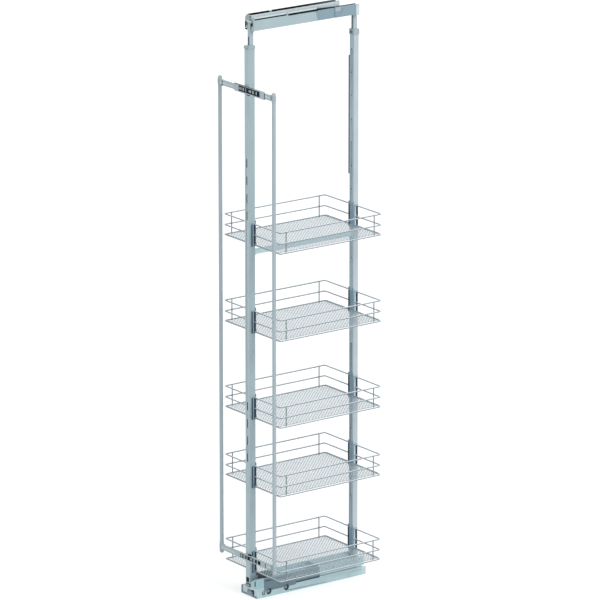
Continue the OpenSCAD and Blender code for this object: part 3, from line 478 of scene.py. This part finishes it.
def zigzag_rows(low, high):
    """Bends k of row r at x = k * CELL_X / 2 and y = r * CELL_Y / 2 + (-1)^(k + r) * CELL_Y / 4, with a
    four-cornered section at each bend, tilted as the pulled sheet's strands are. Bends that lie
    inside the outline are joined to the next one, and a row's free ends are closed."""
    last_k, last_r = (int(half / cell * 2) + 1 for half, cell in zip(high, (CELL_X, CELL_Y)))
    r, k = np.meshgrid(np.arange(-last_r, last_r + 1), np.arange(-last_k, last_k + 1), indexing="ij")
    bends = np.stack([k * CELL_X / 2, r * CELL_Y / 2 + (-1.0) ** (k + r) * CELL_Y / 4], axis=-1)
    kept = inside(bends, low, high, RIM / 2)
    joined = kept[:, :-1] & kept[:, 1:]
    leaves, arrives = np.pad(joined, ((0, 0), (0, 1))), np.pad(joined, ((0, 0), (1, 0)))
    used = leaves | arrives
    first = 4 * (np.cumsum(used).reshape(used.shape) - 1)
    half = STRAND / 2 * math.hypot(CELL_X, CELL_Y) / CELL_X
    base = (high[2] - low[2] - STRAND_THICK) / 2
    low_edge, high_edge = base - STRAND_TILT, base + STRAND_TILT
    section = np.array([[-half, low_edge], [half, high_edge], [half, high_edge + STRAND_THICK],
                        [-half, low_edge + STRAND_THICK]])
    points = np.zeros((int(used.sum()), 4, 3))
    points[..., :2] = bends[used][:, None, :]
    points[..., 1] += section[:, 0]
    points[..., 2] = low[2] + section[:, 1]
    corner, following = np.arange(4), np.roll(np.arange(4), -1)
    here, there = first[:, :-1][joined][:, None], first[:, 1:][joined][:, None]
    sides = np.stack([here + corner, here + following, there + following, there + corner], axis=-1)
    starts = first[leaves & ~arrives][:, None] + corner[::-1]
    ends = first[arrives & ~leaves][:, None] + corner
    return points.reshape(-1, 3), [sides.reshape(-1, 4), starts, ends]


print("mesh cell:", round(CELL_X * 1000, 1), "x", round(CELL_Y * 1000, 1), "mm")

# %% The rim of a floor
def outline_points(low, high):
    """Corners of the floor's outline, anticlockwise: four rounded corners and two square notches."""
    turn = np.radians(np.linspace(0.0, 90.0, 5))
    arc = np.stack([np.cos(turn), np.sin(turn)], axis=1) * FLOOR_CORNER
    x, y = high[0] - FLOOR_CORNER, high[1] - FLOOR_CORNER
    right_front = np.array([x, -y]) + arc @ np.array([[0, -1], [1, 0]])
    right_rear = np.array([x, y]) + arc
    left_rear = np.array([-x, y]) + arc @ np.array([[0, 1], [-1, 0]])
    left_front = np.array([-x, -y]) + arc @ np.array([[-1, 0], [0, -1]])
    rear = [[NOTCH_X, high[1]], [NOTCH_X, NOTCH_REAR], [-NOTCH_X, NOTCH_REAR], [-NOTCH_X, high[1]]]
    front = [[-NOTCH_X, low[1]], [-NOTCH_X, NOTCH_FRONT], [NOTCH_X, NOTCH_FRONT], [NOTCH_X, low[1]]]
    return np.concatenate([right_front, right_rear, rear, left_rear, left_front, front])


def rim_band(low, high):
    """Flat band inside the outline: each outline point moved inwards along the mitre of its two sides,
    giving an outer and an inner loop, both at the sheet's lower and upper face."""
    outer = outline_points(low, high)
    along = np.roll(outer, -1, axis=0) - outer
    along /= np.linalg.norm(along, axis=1, keepdims=True)
    normal = np.stack([-along[:, 1], along[:, 0]], axis=1)
    before = np.roll(normal, 1, axis=0)
    mitre = (normal + before) / (1.0 + np.sum(normal * before, axis=1, keepdims=True))
    inner = outer + RIM * mitre
    loops = [(inner, low[2]), (outer, low[2]), (outer, high[2]), (inner, high[2])]
    rings = [np.column_stack([loop, np.full(len(loop), z)]) for loop, z in loops]
    return lofted(np.stack(rings), closed=True)


print("rim:", round(RIM * 1000, 1), "mm wide")

# %% One mesh floor for each basket
for n in BASKETS:
    low, high = np.array(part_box(f"basket_{n}_floor"))
    rows = zigzag_rows(low, high)
    mesh_floor = fitted(f"mesh_floor_{n}", rows, mesh_coat, f"basket_{n}")
    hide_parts(f"basket_{n}_floor")
    fitted(f"floor_rim_{n}", rim_band(low, high), wire_coat, f"basket_{n}")
print("faces in a mesh floor:", sum(len(group) for group in rows[1]))

# %% [markdown]
# ## Weld beads and clip ribs
# Where an upright wire of a basket crosses a ring, resistance welding leaves a small flattened bead.
# A bead is an ellipsoid: a half circle turned round the vertical axis and stretched. A sphere would have
# many more faces, and there are sixty beads, so six rings of eight points have to do. The holder clips
# grip the upright with dark ribs that paint the shade of their grooves and gaps, and the rear ones have a
# pale strip beside them. Each is a flat section with its outer corners broken, carried upwards along the
# clip.

# %% Beads at the wire crossings
RING_WIRE = 0.005
POST_Y = 0.194
MIDDLE_DROP = 0.040
BASKET_HEIGHT = 0.076
BEAD_RADIUS = 0.0021
BEAD_LENGTH = 0.0034
BEAD_INSET = 0.0002
lean = np.radians(np.linspace(-75.0, 75.0, 6))
bead = turned(np.column_stack([BEAD_LENGTH * np.sin(lean), BEAD_RADIUS * np.cos(lean)]), 2, 8)
for n in BASKETS:
    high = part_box(f"basket_{n}")[1]
    top = high[2] - RING_WIRE / 2
    side_x = high[0] - RING_WIRE - BEAD_INSET
    sides, ends, drops = np.meshgrid([-side_x, side_x], [-POST_Y, POST_Y],
                                     [0.0, MIDDLE_DROP, BASKET_HEIGHT], indexing="ij")
    places = np.column_stack([sides.ravel(), ends.ravel(), top - drops.ravel()])
    fitted(f"weld_beads_{n}", copies(bead, places), wire_coat, f"basket_{n}", smooth=True)
print("beads on a basket:", len(places))

# %% Ribs along the clips
RIB_RISE = 0.0007
RIB_CORNER = 0.0003
RIB_LOW = 0.0015
RIB_HIGH = 0.0125
FRONT_RIBS = np.array([[0.0002, 0.0042], [0.0102, 0.0181]])
REAR_RIBS = np.array([[-0.0074, -0.0002]])
REAR_STRIPS = np.array([[-0.0142, -0.0091]])
WEB_FACE = 0.0197
WEB_RIB = (0.0075, 0.0150)


def rib(base, outwards, along, span):
    """Section with two broken corners that stands on x = base, between the two places along y, carried
    over the span in z."""
    rise = outwards * RIB_RISE
    corner = outwards * RIB_CORNER
    section = np.array([[base, along[0]], [base + rise - corner, along[0]],
                        [base + rise, along[0] + RIB_CORNER], [base + rise, along[1] - RIB_CORNER],
                        [base + rise - corner, along[1]], [base, along[1]]])
    return straight(section, 2, *span)


for n in BASKETS:
    low, high = np.array(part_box(f"basket_{n}_holders"))
    span = (low[2] + RIB_LOW, high[2] - RIB_HIGH)
    front, rear = low[1], high[1]
    sides = [(high[0], 1.0), (low[0], -1.0)]
    # The web's rib is made to face right, then turned to face forwards.
    points, groups = rib(0.0, 1.0, WEB_RIB, span)
    web = points[:, [1, 0, 2]] * [-1.0, -1.0, 1.0] + [0.0, rear - WEB_FACE, 0.0], groups
    dark = np.concatenate([front + FRONT_RIBS, rear + REAR_RIBS])
    ribs = together(web, *[rib(x, out, along, span) for x, out in sides for along in dark])
    # Dark ribs that paint the shade in the clips' grooves and gaps.
    fitted(f"clip_shade_ribs_{n}", ribs, rib_plastic, f"basket_{n}")
    strips = together(*[rib(x, out, along, span) for x, out in sides for along in rear + REAR_STRIPS])
    fitted(f"clip_strips_{n}", strips, pale_coat, f"basket_{n}")
print("rib points on a basket:", len(ribs[0]))

# %% [markdown]
# ## Painted shade behind the slots
# The uprights are tubes, and inside them shade lies behind the slots of the front one and the row of
# holes of the rear one. A black strip inside paints that shade. Black paint in the slots would look right
# from the front only, so the strip is made: a flat section with its inner corners broken, carried upwards
# just behind the wall. Studs on the strip fill the slots and holes almost to the front: their outline is
# two half circles joined by straight sides, and a hole's stud is the case with hardly any straight side.

# %% Backing strips inside the uprights
BACKING_HALF = 0.009
BACKING_THICK = 0.0012
BACKING_GAP = 0.0016
BROKEN = 0.0004
FRONT_BACKING = (0.490, 1.650)
REAR_BACKING = (0.100, 1.970)
section = np.array([[-BACKING_HALF, 0.0], [BACKING_HALF, 0.0], [BACKING_HALF, BACKING_THICK - BROKEN],
                    [BACKING_HALF - BROKEN, BACKING_THICK], [BROKEN - BACKING_HALF, BACKING_THICK],
                    [-BACKING_HALF, BACKING_THICK - BROKEN]])
front_face, rear_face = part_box("front_upright")[0][1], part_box("rear_upright")[0][1]
strips = together(straight(section + [0.0, front_face + BACKING_GAP], 2, *FRONT_BACKING),
                  straight(section + [0.0, rear_face + BACKING_GAP], 2, *REAR_BACKING))
print("strips:", len(strips[0]), "points")

# %% Studs in the slots and holes
SLOT_SIZE = (0.0318, 0.0048)
HOLE_SIZE = (0.0048, 0.0047)
SLOT_PITCH = 0.064
HOLE_PITCH = 0.0855
SLOTS = [low + SLOT_PITCH * i for low in (0.522, 1.417) for i in range(4)]
HOLES = [1.445 + HOLE_PITCH * i for i in range(7)] + [1.189, 0.869, 0.549, 0.293]
STUD_FACE = 0.00025


def obround(length, width, steps=7):
    """Two half circles of the given width, moved apart until they are length long, as (z, x) rows."""
    turn = np.radians(np.linspace(-90.0, 90.0, steps))
    radius = width / 2
    end = np.column_stack([length / 2 - radius + radius * np.cos(turn), radius * np.sin(turn)])
    return np.concatenate([end, -end])


slot_stud = straight(obround(*SLOT_SIZE), 1, front_face + STUD_FACE, front_face + BACKING_GAP)
hole_stud = straight(obround(*HOLE_SIZE), 1, rear_face + STUD_FACE, rear_face + BACKING_GAP)
strips = together(strips, copies(slot_stud, [[0.0, 0.0, z] for z in SLOTS]),
                  copies(hole_stud, [[0.0, 0.0, z] for z in HOLES]))
# The black strip and studs paint the shade inside the uprights behind slots and holes.
fitted("slot_shade_backing", strips, black_plastic, "frame")
print("backing with studs:", len(strips[0]), "points")

# %% [markdown]
# A soft lip stands on the side strip of the rear upright and keeps the frame off the cabinet's side. A
# plain bar would look hard, so it is a tongue that narrows to a broken edge, carried upwards along the
# strip.

# %% Lip on the side strip
LIP_ROOT = 0.0010
LIP_REACH = 0.0040
LIP_FRONT = 0.0012
LIP_THICK = 0.0024
TIP_THICK = 0.0017
TIP_CORNER = 0.0005
strip_low, strip_high = np.array(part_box("side_strip"))
root, tip, face = strip_low[0] + LIP_ROOT, strip_low[0] - LIP_REACH, strip_low[1] - LIP_FRONT
section = np.array([[root, face], [root, face + LIP_THICK], [tip + TIP_CORNER, face + TIP_THICK],
                    [tip, face + TIP_THICK - TIP_CORNER], [tip, face + TIP_CORNER],
                    [tip + TIP_CORNER, face]])
lip_shell = straight(section, 2, strip_low[2], strip_high[2])
side_lip = fitted("side_lip", lip_shell, liner_plastic, "frame")
print("side lip:", len(side_lip.data.polygons), "faces")

# %% [markdown]
# ## Wiper lips and painted shadow lines of the top runner
# Thin lips stand on the walls of the top slide and close the gap to the rail: pale ones beside the side
# covers, and a black one behind them, which runs out low towards the rear and paints the gap's shadow. A
# straight bar couldn't run out, so a lip is a section with a rounded upper edge, lofted through stations
# of different height. Black strips along the covers and an edge strip at the rear paint the shadow line of
# the gaps along the runner. They are flat bars with cut corners, and the covers' strips have mirror images
# on the left.

# %% Lips along the slide
LIP_X = 0.02525
LIP_HALF = 0.0007
LIP_TOP = 2.1368
LIP_SUNK = 0.0005
PALE_LIPS = [np.array([[-0.2295, LIP_TOP], [-0.0895, LIP_TOP]]),
             np.array([[-0.0835, LIP_TOP], [0.0436, LIP_TOP]])]
DARK_LIP = np.array([[0.0440, LIP_TOP], [0.0480, 2.1334], [0.1290, 2.1300]])
lip_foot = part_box("top_slide")[1][2] - LIP_SUNK
bend = np.radians(np.linspace(0.0, 180.0, 7))


def lip(stations, side):
    """At each station (y, top): foot on the wall, then a half circle under the top, one ring each."""
    rings = np.zeros((len(stations), len(bend) + 2, 3))
    rings[:, 1:-1, 0] = LIP_X + LIP_HALF * np.cos(bend)
    rings[:, [0, -1], 0] = LIP_X + LIP_HALF, LIP_X - LIP_HALF
    rings[..., 1] = stations[:, :1]
    rings[:, 1:-1, 2] = stations[:, 1:] - LIP_HALF + LIP_HALF * np.sin(bend)
    rings[:, [0, -1], 2] = lip_foot
    return lofted(rings * [side, 1.0, 1.0])


def lip_pair(stations):
    """The lip of these stations on the right wall, and its mirror image on the left wall."""
    return together(lip(stations, 1.0), lip(stations, -1.0))


fitted("cover_lips", together(*map(lip_pair, PALE_LIPS)), pale_coat, "top_slide")
print("pale lips:", len(PALE_LIPS), "pairs")

# %% Black strips beside the lips
COVER_STRIPS = [(2.1272, 2.1318, -0.2295, -0.0895), (2.1246, 2.1319, -0.0835, 0.0440)]
COVER_SUNK = 0.0001
COVER_PROUD = 0.0004
COVER_CORNER = 0.0002
EDGE_STRIP = ((2.1278, 0.0262), (2.1305, 0.0278), 0.0003)
EDGE_STRIP_Y = (0.1215, 0.2100)
cover_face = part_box("top_covers")[1][0]
strips = [straight(chamfered((low, cover_face - COVER_SUNK), (high, cover_face + COVER_PROUD),
                             COVER_CORNER), 1, start, end) for low, high, start, end in COVER_STRIPS]
mirrored = [(points * [-1.0, 1.0, 1.0], groups) for points, groups in strips]
edge_strip = straight(chamfered(*EDGE_STRIP), 1, *EDGE_STRIP_Y)
dark_lips = together(edge_strip, *strips, *mirrored, lip_pair(DARK_LIP))
# The black lip and strips paint the shadow line of the gaps along the runner.
lips = fitted("shade_line_lips", dark_lips, black_plastic, "top_slide")
print("black lips and strips:", len(lips.data.polygons), "faces")

# %% [markdown]
# ## Trims of the top runner
# The inner tubes carry black plates that paint the shade of slots, and the rear bracket ends in a pale cap
# with a grey patch before it. Black pads on the end plate paint the shade in its slots, the rail's front
# end is closed by a grey plate with two dark marks, and a pale stop sits on the rail. They could be
# painted on, but the pale and grey ones are mouldings and all stand a little proud, so each is a thin
# plate with cut
# corners: one helper stands plates on a face that looks forwards, the other on a wall that looks to the
# right.

# %% Plates with cut corners
PAD_CORNER = 0.0008
PAD_SUNK = 0.0001
PAD_PROUD = 0.0003


def face_pads(rows, face, proud=PAD_PROUD):
    """For each row (left, right, low, high): a plate with cut corners that stands out from the face."""
    return together(*[straight(chamfered((low, left), (high, right), PAD_CORNER), 1, face - proud,
                               face + PAD_SUNK) for left, right, low, high in rows])


def side_plate(low, high, corner, face, proud, sunk=0.0):
    """Plate between two (y, z) points with cut corners, from sunk inside the wall to proud outside it."""
    return straight(chamfered(low, high, corner), 0, face - sunk, face + proud)


print("points in a plate:", len(face_pads([(0.0, 1.0, 0.0, 1.0)], 0.0)[0]))

# %% Painted slot shade on the inner tubes, and the bracket cap
TUBE_PROUD = 0.00015
TUBE_SUNK = 0.0004
TUBE_SLOT_SHADES = [("front_inner_tube", (0.031, 0.0048), (-0.0012, 2.0500)),
              ("rear_inner_tube", (0.054, 0.0066), (-0.0030, 2.0575))]
CAP = ((0.2135, 2.0865), (0.2279, 2.1249), 0.003)
CAP_PROUD = 0.0008
slots = []
for name, size, (x, z) in TUBE_SLOT_SHADES:
    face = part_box(name)[0][1]
    slot = straight(obround(*size), 1, face - TUBE_PROUD, face + TUBE_SUNK)
    slots.append(copies(slot, [x, 0.0, z]))
# Black obround plates that paint the shade of slots on the inner tubes.
fitted("tube_slot_shades", together(*slots), black_plastic, "top_slide")
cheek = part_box("top_rear_bracket")[1][0]
fitted("bracket_cap", side_plate(*CAP, cheek, CAP_PROUD), pale_coat, "top_slide")
print("tube slots:", len(slots))

# %% Painted slot shade on the end plate, rail end and rail stop
END_SLOT_SHADES = [(0.0092, 0.0190, 2.1052, 2.1190), (-0.0272, -0.0205, 2.0962, 2.1170),
            (-0.0145, -0.0090, 2.1005, 2.1145), (-0.0260, -0.0145, 2.0873, 2.0920)]
RAIL_END = [(-0.0155, 0.0155, 2.1246, 2.1435)]
RAIL_MARKS = [(0.0048, 0.0144, 2.1360, 2.1392), (0.0052, 0.0150, 2.1254, 2.1287)]
MARK_PROUD = 0.0002
PATCH = ((0.1235, 2.1120), (0.1465, 2.1262), 0.001)
STOP_SECTION = np.array([[2.1425, -0.0124], [2.1425, 0.0020], [2.1453, 0.0016], [2.1457, -0.0050],
                         [2.1453, -0.0120]])
STOP_Y = (-0.1418, -0.1350)
plate_front, rail_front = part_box("top_end_plate")[0][1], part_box("top_rail")[0][1]
# Black pads that paint the shade in the end plate's slots.
fitted("end_slot_shades", face_pads(END_SLOT_SHADES, plate_front), black_plastic, "top_slide")
fitted("rail_end", face_pads(RAIL_END, rail_front), cap_plastic, "top_rail")
marks = face_pads(RAIL_MARKS, rail_front - PAD_PROUD, MARK_PROUD)
fitted("rail_marks", marks, black_plastic, "top_rail")
fitted("cheek_patch", side_plate(*PATCH, cheek, PAD_PROUD), cap_plastic, "top_slide")
fitted("rail_stop", straight(STOP_SECTION, 1, *STOP_Y), pale_coat, "top_rail")
print("end pads:", len(END_SLOT_SHADES), "rail marks:", len(RAIL_MARKS))

# %% [markdown]
# ## Painted shade in the beam
# The moving beam is an open channel whose inside lies in shade, and a dark liner paints that shade:
# through the lowest basket's mesh it shows as a dark field. A flat dark plate would show no walls, so it
# is a U section carried along the front of the beam. A thin grey pad on the right wall runs past the
# soft-close unit. A small plate at the foot of the front upright, and a dark plate on the cover block that
# paints the shadow of the gap at its corner, are thin plates too.

# %% Liner, side pad and plates of the beam
LINER_HALF = 0.0362
LINER_WALL = 0.0008
LINER_Z = (0.0393, 0.0660)
LINER_Y = (-0.2150, -0.1080)
SIDE_PAD = ((-0.2050, 0.0380), (0.0450, 0.0670), 0.004)
SIDE_PAD_X = 0.0385
SIDE_PAD_THICK = 0.0006
FOOT_PLATE = [(-0.0115, 0.0115, 0.0385, 0.0465)]
COVER_GAP_SHADE = [(0.0375, 0.0450, 0.0465, 0.0645)]
inner, foot, rim = LINER_HALF - LINER_WALL, LINER_Z[0] + LINER_WALL, LINER_Z[1]
section = np.array([[LINER_Z[0], -LINER_HALF], [LINER_Z[0], LINER_HALF], [rim, LINER_HALF], [rim, inner],
                    [foot, inner], [foot, -inner], [rim, -inner], [rim, -LINER_HALF]])
# The dark liner paints the shade inside the beam's channel.
beam_shade_liner = fitted("beam_shade_liner", straight(section, 1, *LINER_Y), liner_plastic, "frame")
pad = side_plate(*SIDE_PAD, SIDE_PAD_X, SIDE_PAD_THICK)
fitted("side_pad", pad, housing_plastic, "frame")
fitted("foot_plate", face_pads(FOOT_PLATE, front_face), slide_coat, "frame")
cover_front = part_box("front_cover")[0][1]
# A dark plate that paints the shadow of the gap at the cover block's corner.
fitted("cover_gap_shade", face_pads(COVER_GAP_SHADE, cover_front), liner_plastic, "frame")
print("liner:", len(beam_shade_liner.data.vertices), "points")

# %% [markdown]
# ## Adjusters in the crossbars
# Through the window of each crossbar one sees the black block that sets the door: a grey clamp at one
# end, steel bars and tongues on both sides of an eccentric, and the black knob at the other end.
# The eccentric is a turned profile; bars and tongues are plates with cut corners, one row of numbers
# each. Both crossbars have the same fittings, so they are made once at the origin and copied.

# %% Plates, tongues and eccentrics
BRACKET_X = 0.026
CROSSBAR_Z = (1.876, 0.1485)
BLOCK_FACE = -0.2518
PLATE_PROUD = 0.0009
CLAMPS = [(-0.0600, -0.0510, -0.0045, 0.0045), (-0.0470, -0.0430, -0.0050, 0.0050),
          (-0.0235, -0.0195, -0.0060, 0.0060), (0.0185, 0.0265, -0.0060, 0.0060)]
TONGUES = [(-0.0385, -0.0325, -0.0060, 0.0060), (0.0050, 0.0105, -0.0045, 0.0045),
           (0.0395, 0.0445, -0.0060, 0.0060)]
ECCENTRIC = [[0.0025, 0.0034], [-0.0004, 0.0036], [-0.0010, 0.0033], [-0.0010, 0.0024],
             [-0.0003, 0.0021], [-0.0003, 0.0004]]
middle = [[BRACKET_X, BLOCK_FACE, z] for z in CROSSBAR_Z]
tongues, clamps = (copies(face_pads(rows, 0.0, PLATE_PROUD), middle) for rows in (TONGUES, CLAMPS))
fittings = together(copies(turned(ECCENTRIC, 1, 20), middle), tongues)
fitted("adjuster_fittings", fittings, silver_coat, "door_adjusters")
fitted("adjuster_clamps", clamps, cap_plastic, "door_adjusters")
print("adjuster fittings:", len(fittings[0]), "points")

# %% [markdown]
# The crossbars carry a raised bead along each arm, which catches the light, and its pale coat also paints
# a highlight line along it. A bump in the finish would not show at the outline, so a bead is a half circle
# carried along the arm. Black levers and an edge strip sit on the middle bracket, dark seams and a clip
# mark where the arms end, and a grey ring closes each joint of a rod with a crossbar: a profile turned
# round the rod.

# %% Beads along the arms
BAR_FACE = -0.2536
BEAD_HALF = 0.0020
BEAD_FLATTEN = 0.7
BEAD_BACK = 0.0008
BEAD_DROP = 0.0010
ARMS = [(-0.1500, -0.0680), (0.1222, 0.1500)]
arc = np.radians(np.linspace(90.0, 270.0, 7))
bead_section = np.column_stack([BEAD_BACK + BEAD_HALF * np.cos(arc) * BEAD_FLATTEN,
                                BEAD_HALF * np.sin(arc)])
beads = [straight(bead_section + [BAR_FACE, z - BEAD_DROP], 0, *arm) for z in CROSSBAR_Z for arm in ARMS]
# Beads in a pale coat: real relief, with a painted highlight line in their colour.
fitted("arm_beads", together(*beads), bead_coat, "door_carrier")
print("beads:", len(beads))

# %% Levers, clip, seams and rod rings of the crossbars
LEVER = np.array([[-0.0002, 0.010], [-0.0034, 0.014], [-0.0034, 0.026], [-0.0002, 0.030]])
LEVER_Y = (-0.2534, -0.2490)
UPPER_LEVER_Z = 1.862
LOWER_LEVER_Z = 0.1595
LOWER_STRETCH = -1.6
EDGE_SECTION = np.array([[1.8884, -0.060], [1.8903, -0.060], [1.8903, 0.056], [1.8884, 0.056]])
EDGE_HALF = 0.0004
ROD_CLIP = [(-0.1390, -0.1325, 1.8650, 1.8832)]
SEAMS = [(0.1180, 0.1212, 1.8655, 1.8865), (0.1180, 0.1212, 0.1395, 0.1575)]
ROUND_STEPS = 24
ROD_X = 0.162
ROD_Y = -0.2445
RING = [[-0.0105, 0.0070], [-0.0105, 0.0080], [-0.0100, 0.0083], [0.0080, 0.0083], [0.0085, 0.0080],
        [0.0085, 0.0070]]
upper_lever = straight(LEVER + [UPPER_LEVER_Z, 0.0], 1, *LEVER_Y)
lower_lever = straight(LEVER * [LOWER_STRETCH, 1.0] + [LOWER_LEVER_Z, 0.0], 1, *LEVER_Y)
edge = straight(EDGE_SECTION, 1, BAR_FACE - EDGE_HALF, BAR_FACE + EDGE_HALF)
fitted("rod_clip", face_pads(ROD_CLIP, BAR_FACE), liner_plastic, "door_carrier")
levers = together(upper_lever, lower_lever, edge, face_pads(SEAMS, BAR_FACE))
fitted("bar_levers", levers, black_plastic, "door_carrier")
ends = [[side * ROD_X, ROD_Y, z] for side in (1.0, -1.0) for z in CROSSBAR_Z]
rings = copies(turned(RING, 2, ROUND_STEPS, closed=True), ends)
fitted("rod_rings", rings, cap_plastic, "door_carrier")
print("levers:", len(levers[0]), "points, rings:", len(ends))

# %% [markdown]
# ## Hubs on the rollers
# The rollers are moulded with a raised ring round the axle, and it shows through the round windows of
# the floor runner. A black washer lies under the head of the runner's side screw. A torus would be round
# where these are flat, so both are a closed profile turned about the axis.

# %% Hub rings
HUB = np.array([[0.0, 0.0024], [0.0006, 0.0026], [0.0008, 0.0030], [0.0008, 0.0042], [0.0006, 0.0048],
                [0.0, 0.0050]])
for name in ("support_rollers_front", "support_rollers_back"):
    low, high = np.array(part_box(name))
    centre = (low + high) / 2
    hubs = together(*[copies(turned(HUB * [side, 1.0], 0, ROUND_STEPS, closed=True), [x, *centre[1:]])
                      for side, x in ((1.0, high[0]), (-1.0, low[0]))])
    ring_name = name.replace("support_rollers", "hub_rings")
    fitted(ring_name, hubs, cap_plastic, name, smooth=True)
print("hub points:", len(hubs[0]))

# %% Washer on the runner's side screw
WASHER = [[-0.0002, 0.0036], [0.0003, 0.0038], [0.0004, 0.0042], [0.0004, 0.0060], [0.0003, 0.0064],
          [-0.0002, 0.0066]]
low, high = np.array(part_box("track_screws"))
washer = copies(turned(WASHER, 0, ROUND_STEPS, closed=True), [high[0], *(low + high)[1:] / 2])
screw_washer = fitted("screw_washer", washer, rib_plastic, "base", smooth=True)
print("washer:", len(screw_washer.data.polygons), "faces")

# %% [markdown]
# ## Front end of the floor runner
# The middle runner ends in pale caps, with dark stops and a grey tongue between them, and the guide block
# under the tongue has a grey plate. The damper's rod runs along the upper edge of the track. One closed
# plate would look like a box from the front, so each is a thin plate of its own with cut corners, and
# the runner's plates leave room for the guide block when the frame is pulled out.

# %% Runner ends, guide plate and damper rod
RUNNER_ENDS = [(-0.0440, -0.0160, 0.0060, 0.0300), (0.0250, 0.0440, 0.0060, 0.0300),
               (-0.0165, 0.0255, 0.0250, 0.0300)]
RUNNER_STOPS = [(0.0165, 0.0255, 0.0090, 0.0255), (0.0085, 0.0170, 0.0190, 0.0255)]
RUNNER_TONGUE = [(-0.0165, 0.0090, 0.0190, 0.0255)]
GUIDE_PLATE = [(-0.0145, 0.0145, 0.0030, 0.0176)]
END_PROUD = 0.0005
TONGUE_PROUD = 0.0004
DAMPER_ROD = ((-0.0655, 0.0284), (0.0400, 0.0318), 0.0008)
DAMPER_PROUD = 0.0004
runner_front, guide_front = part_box("mid_runner")[0][1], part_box("front_guide")[0][1]
plates = face_pads(RUNNER_ENDS, runner_front, END_PROUD)
fitted("runner_ends", plates, bead_coat, "mid_runner")
stops = face_pads(RUNNER_STOPS, runner_front, END_PROUD)
fitted("runner_stops", stops, black_plastic, "mid_runner")
tongue = face_pads(RUNNER_TONGUE, runner_front, TONGUE_PROUD)
fitted("runner_tongue", tongue, slide_coat, "mid_runner")
fitted("guide_plate", face_pads(GUIDE_PLATE, guide_front), slide_coat, "base")
track_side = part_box("base_track")[1][0]
rod = side_plate(*DAMPER_ROD, track_side, DAMPER_PROUD, PAD_SUNK)
fitted("damper_rod", rod, liner_plastic, "base")
print("runner ends:", len(plates[0]), "points")

# %% [markdown]
# ## Rounded sheet edges
# Rolled tubes and bent sheets have no razor edges: a small radius catches the light and draws a thin
# bright line along each corner. Rounding them in the solids would multiply their faces, so modifiers do
# it: the solids are loose triangles, so a Weld comes first, then a Bevel that only touches edges sharper
# than 40 degrees.

# %% Weld and bevel the sheet metal
EDGE_RADIUS = {
    "front_upright": 0.0018, "rear_upright": 0.0018, "base_track": 0.0008, "base_beam": 0.0008,
    "top_covers": 0.0006, "top_rail": 0.0006, "top_slide": 0.0006, "front_cover": 0.0008,
    "upper_crossbar": 0.0006, "lower_crossbar": 0.0006, "front_inner_tube": 0.0012,
    "rear_inner_tube": 0.0012, "collars": 0.0008, "soft_close_unit": 0.0008, "strut": 0.0008,
    "top_end_plate": 0.0006, "top_rear_bracket": 0.0006, "front_foot": 0.0008, "side_strip": 0.0006,
    **{f"basket_{n}_holders": 0.0005 for n in BASKETS},
}
WELD_DISTANCE = 0.00001
BEVEL_STEPS = 2
SHARP = math.radians(40.0)
for name, radius in EDGE_RADIUS.items():
    weld = nodes[name].modifiers.new("weld", "WELD")
    weld.merge_threshold = WELD_DISTANCE
    bevel = nodes[name].modifiers.new("edge", "BEVEL")
    bevel.width = radius
    bevel.segments = BEVEL_STEPS
    bevel.limit_method = "ANGLE"
    bevel.angle_limit = SHARP
print("bevelled:", len(EDGE_RADIUS))
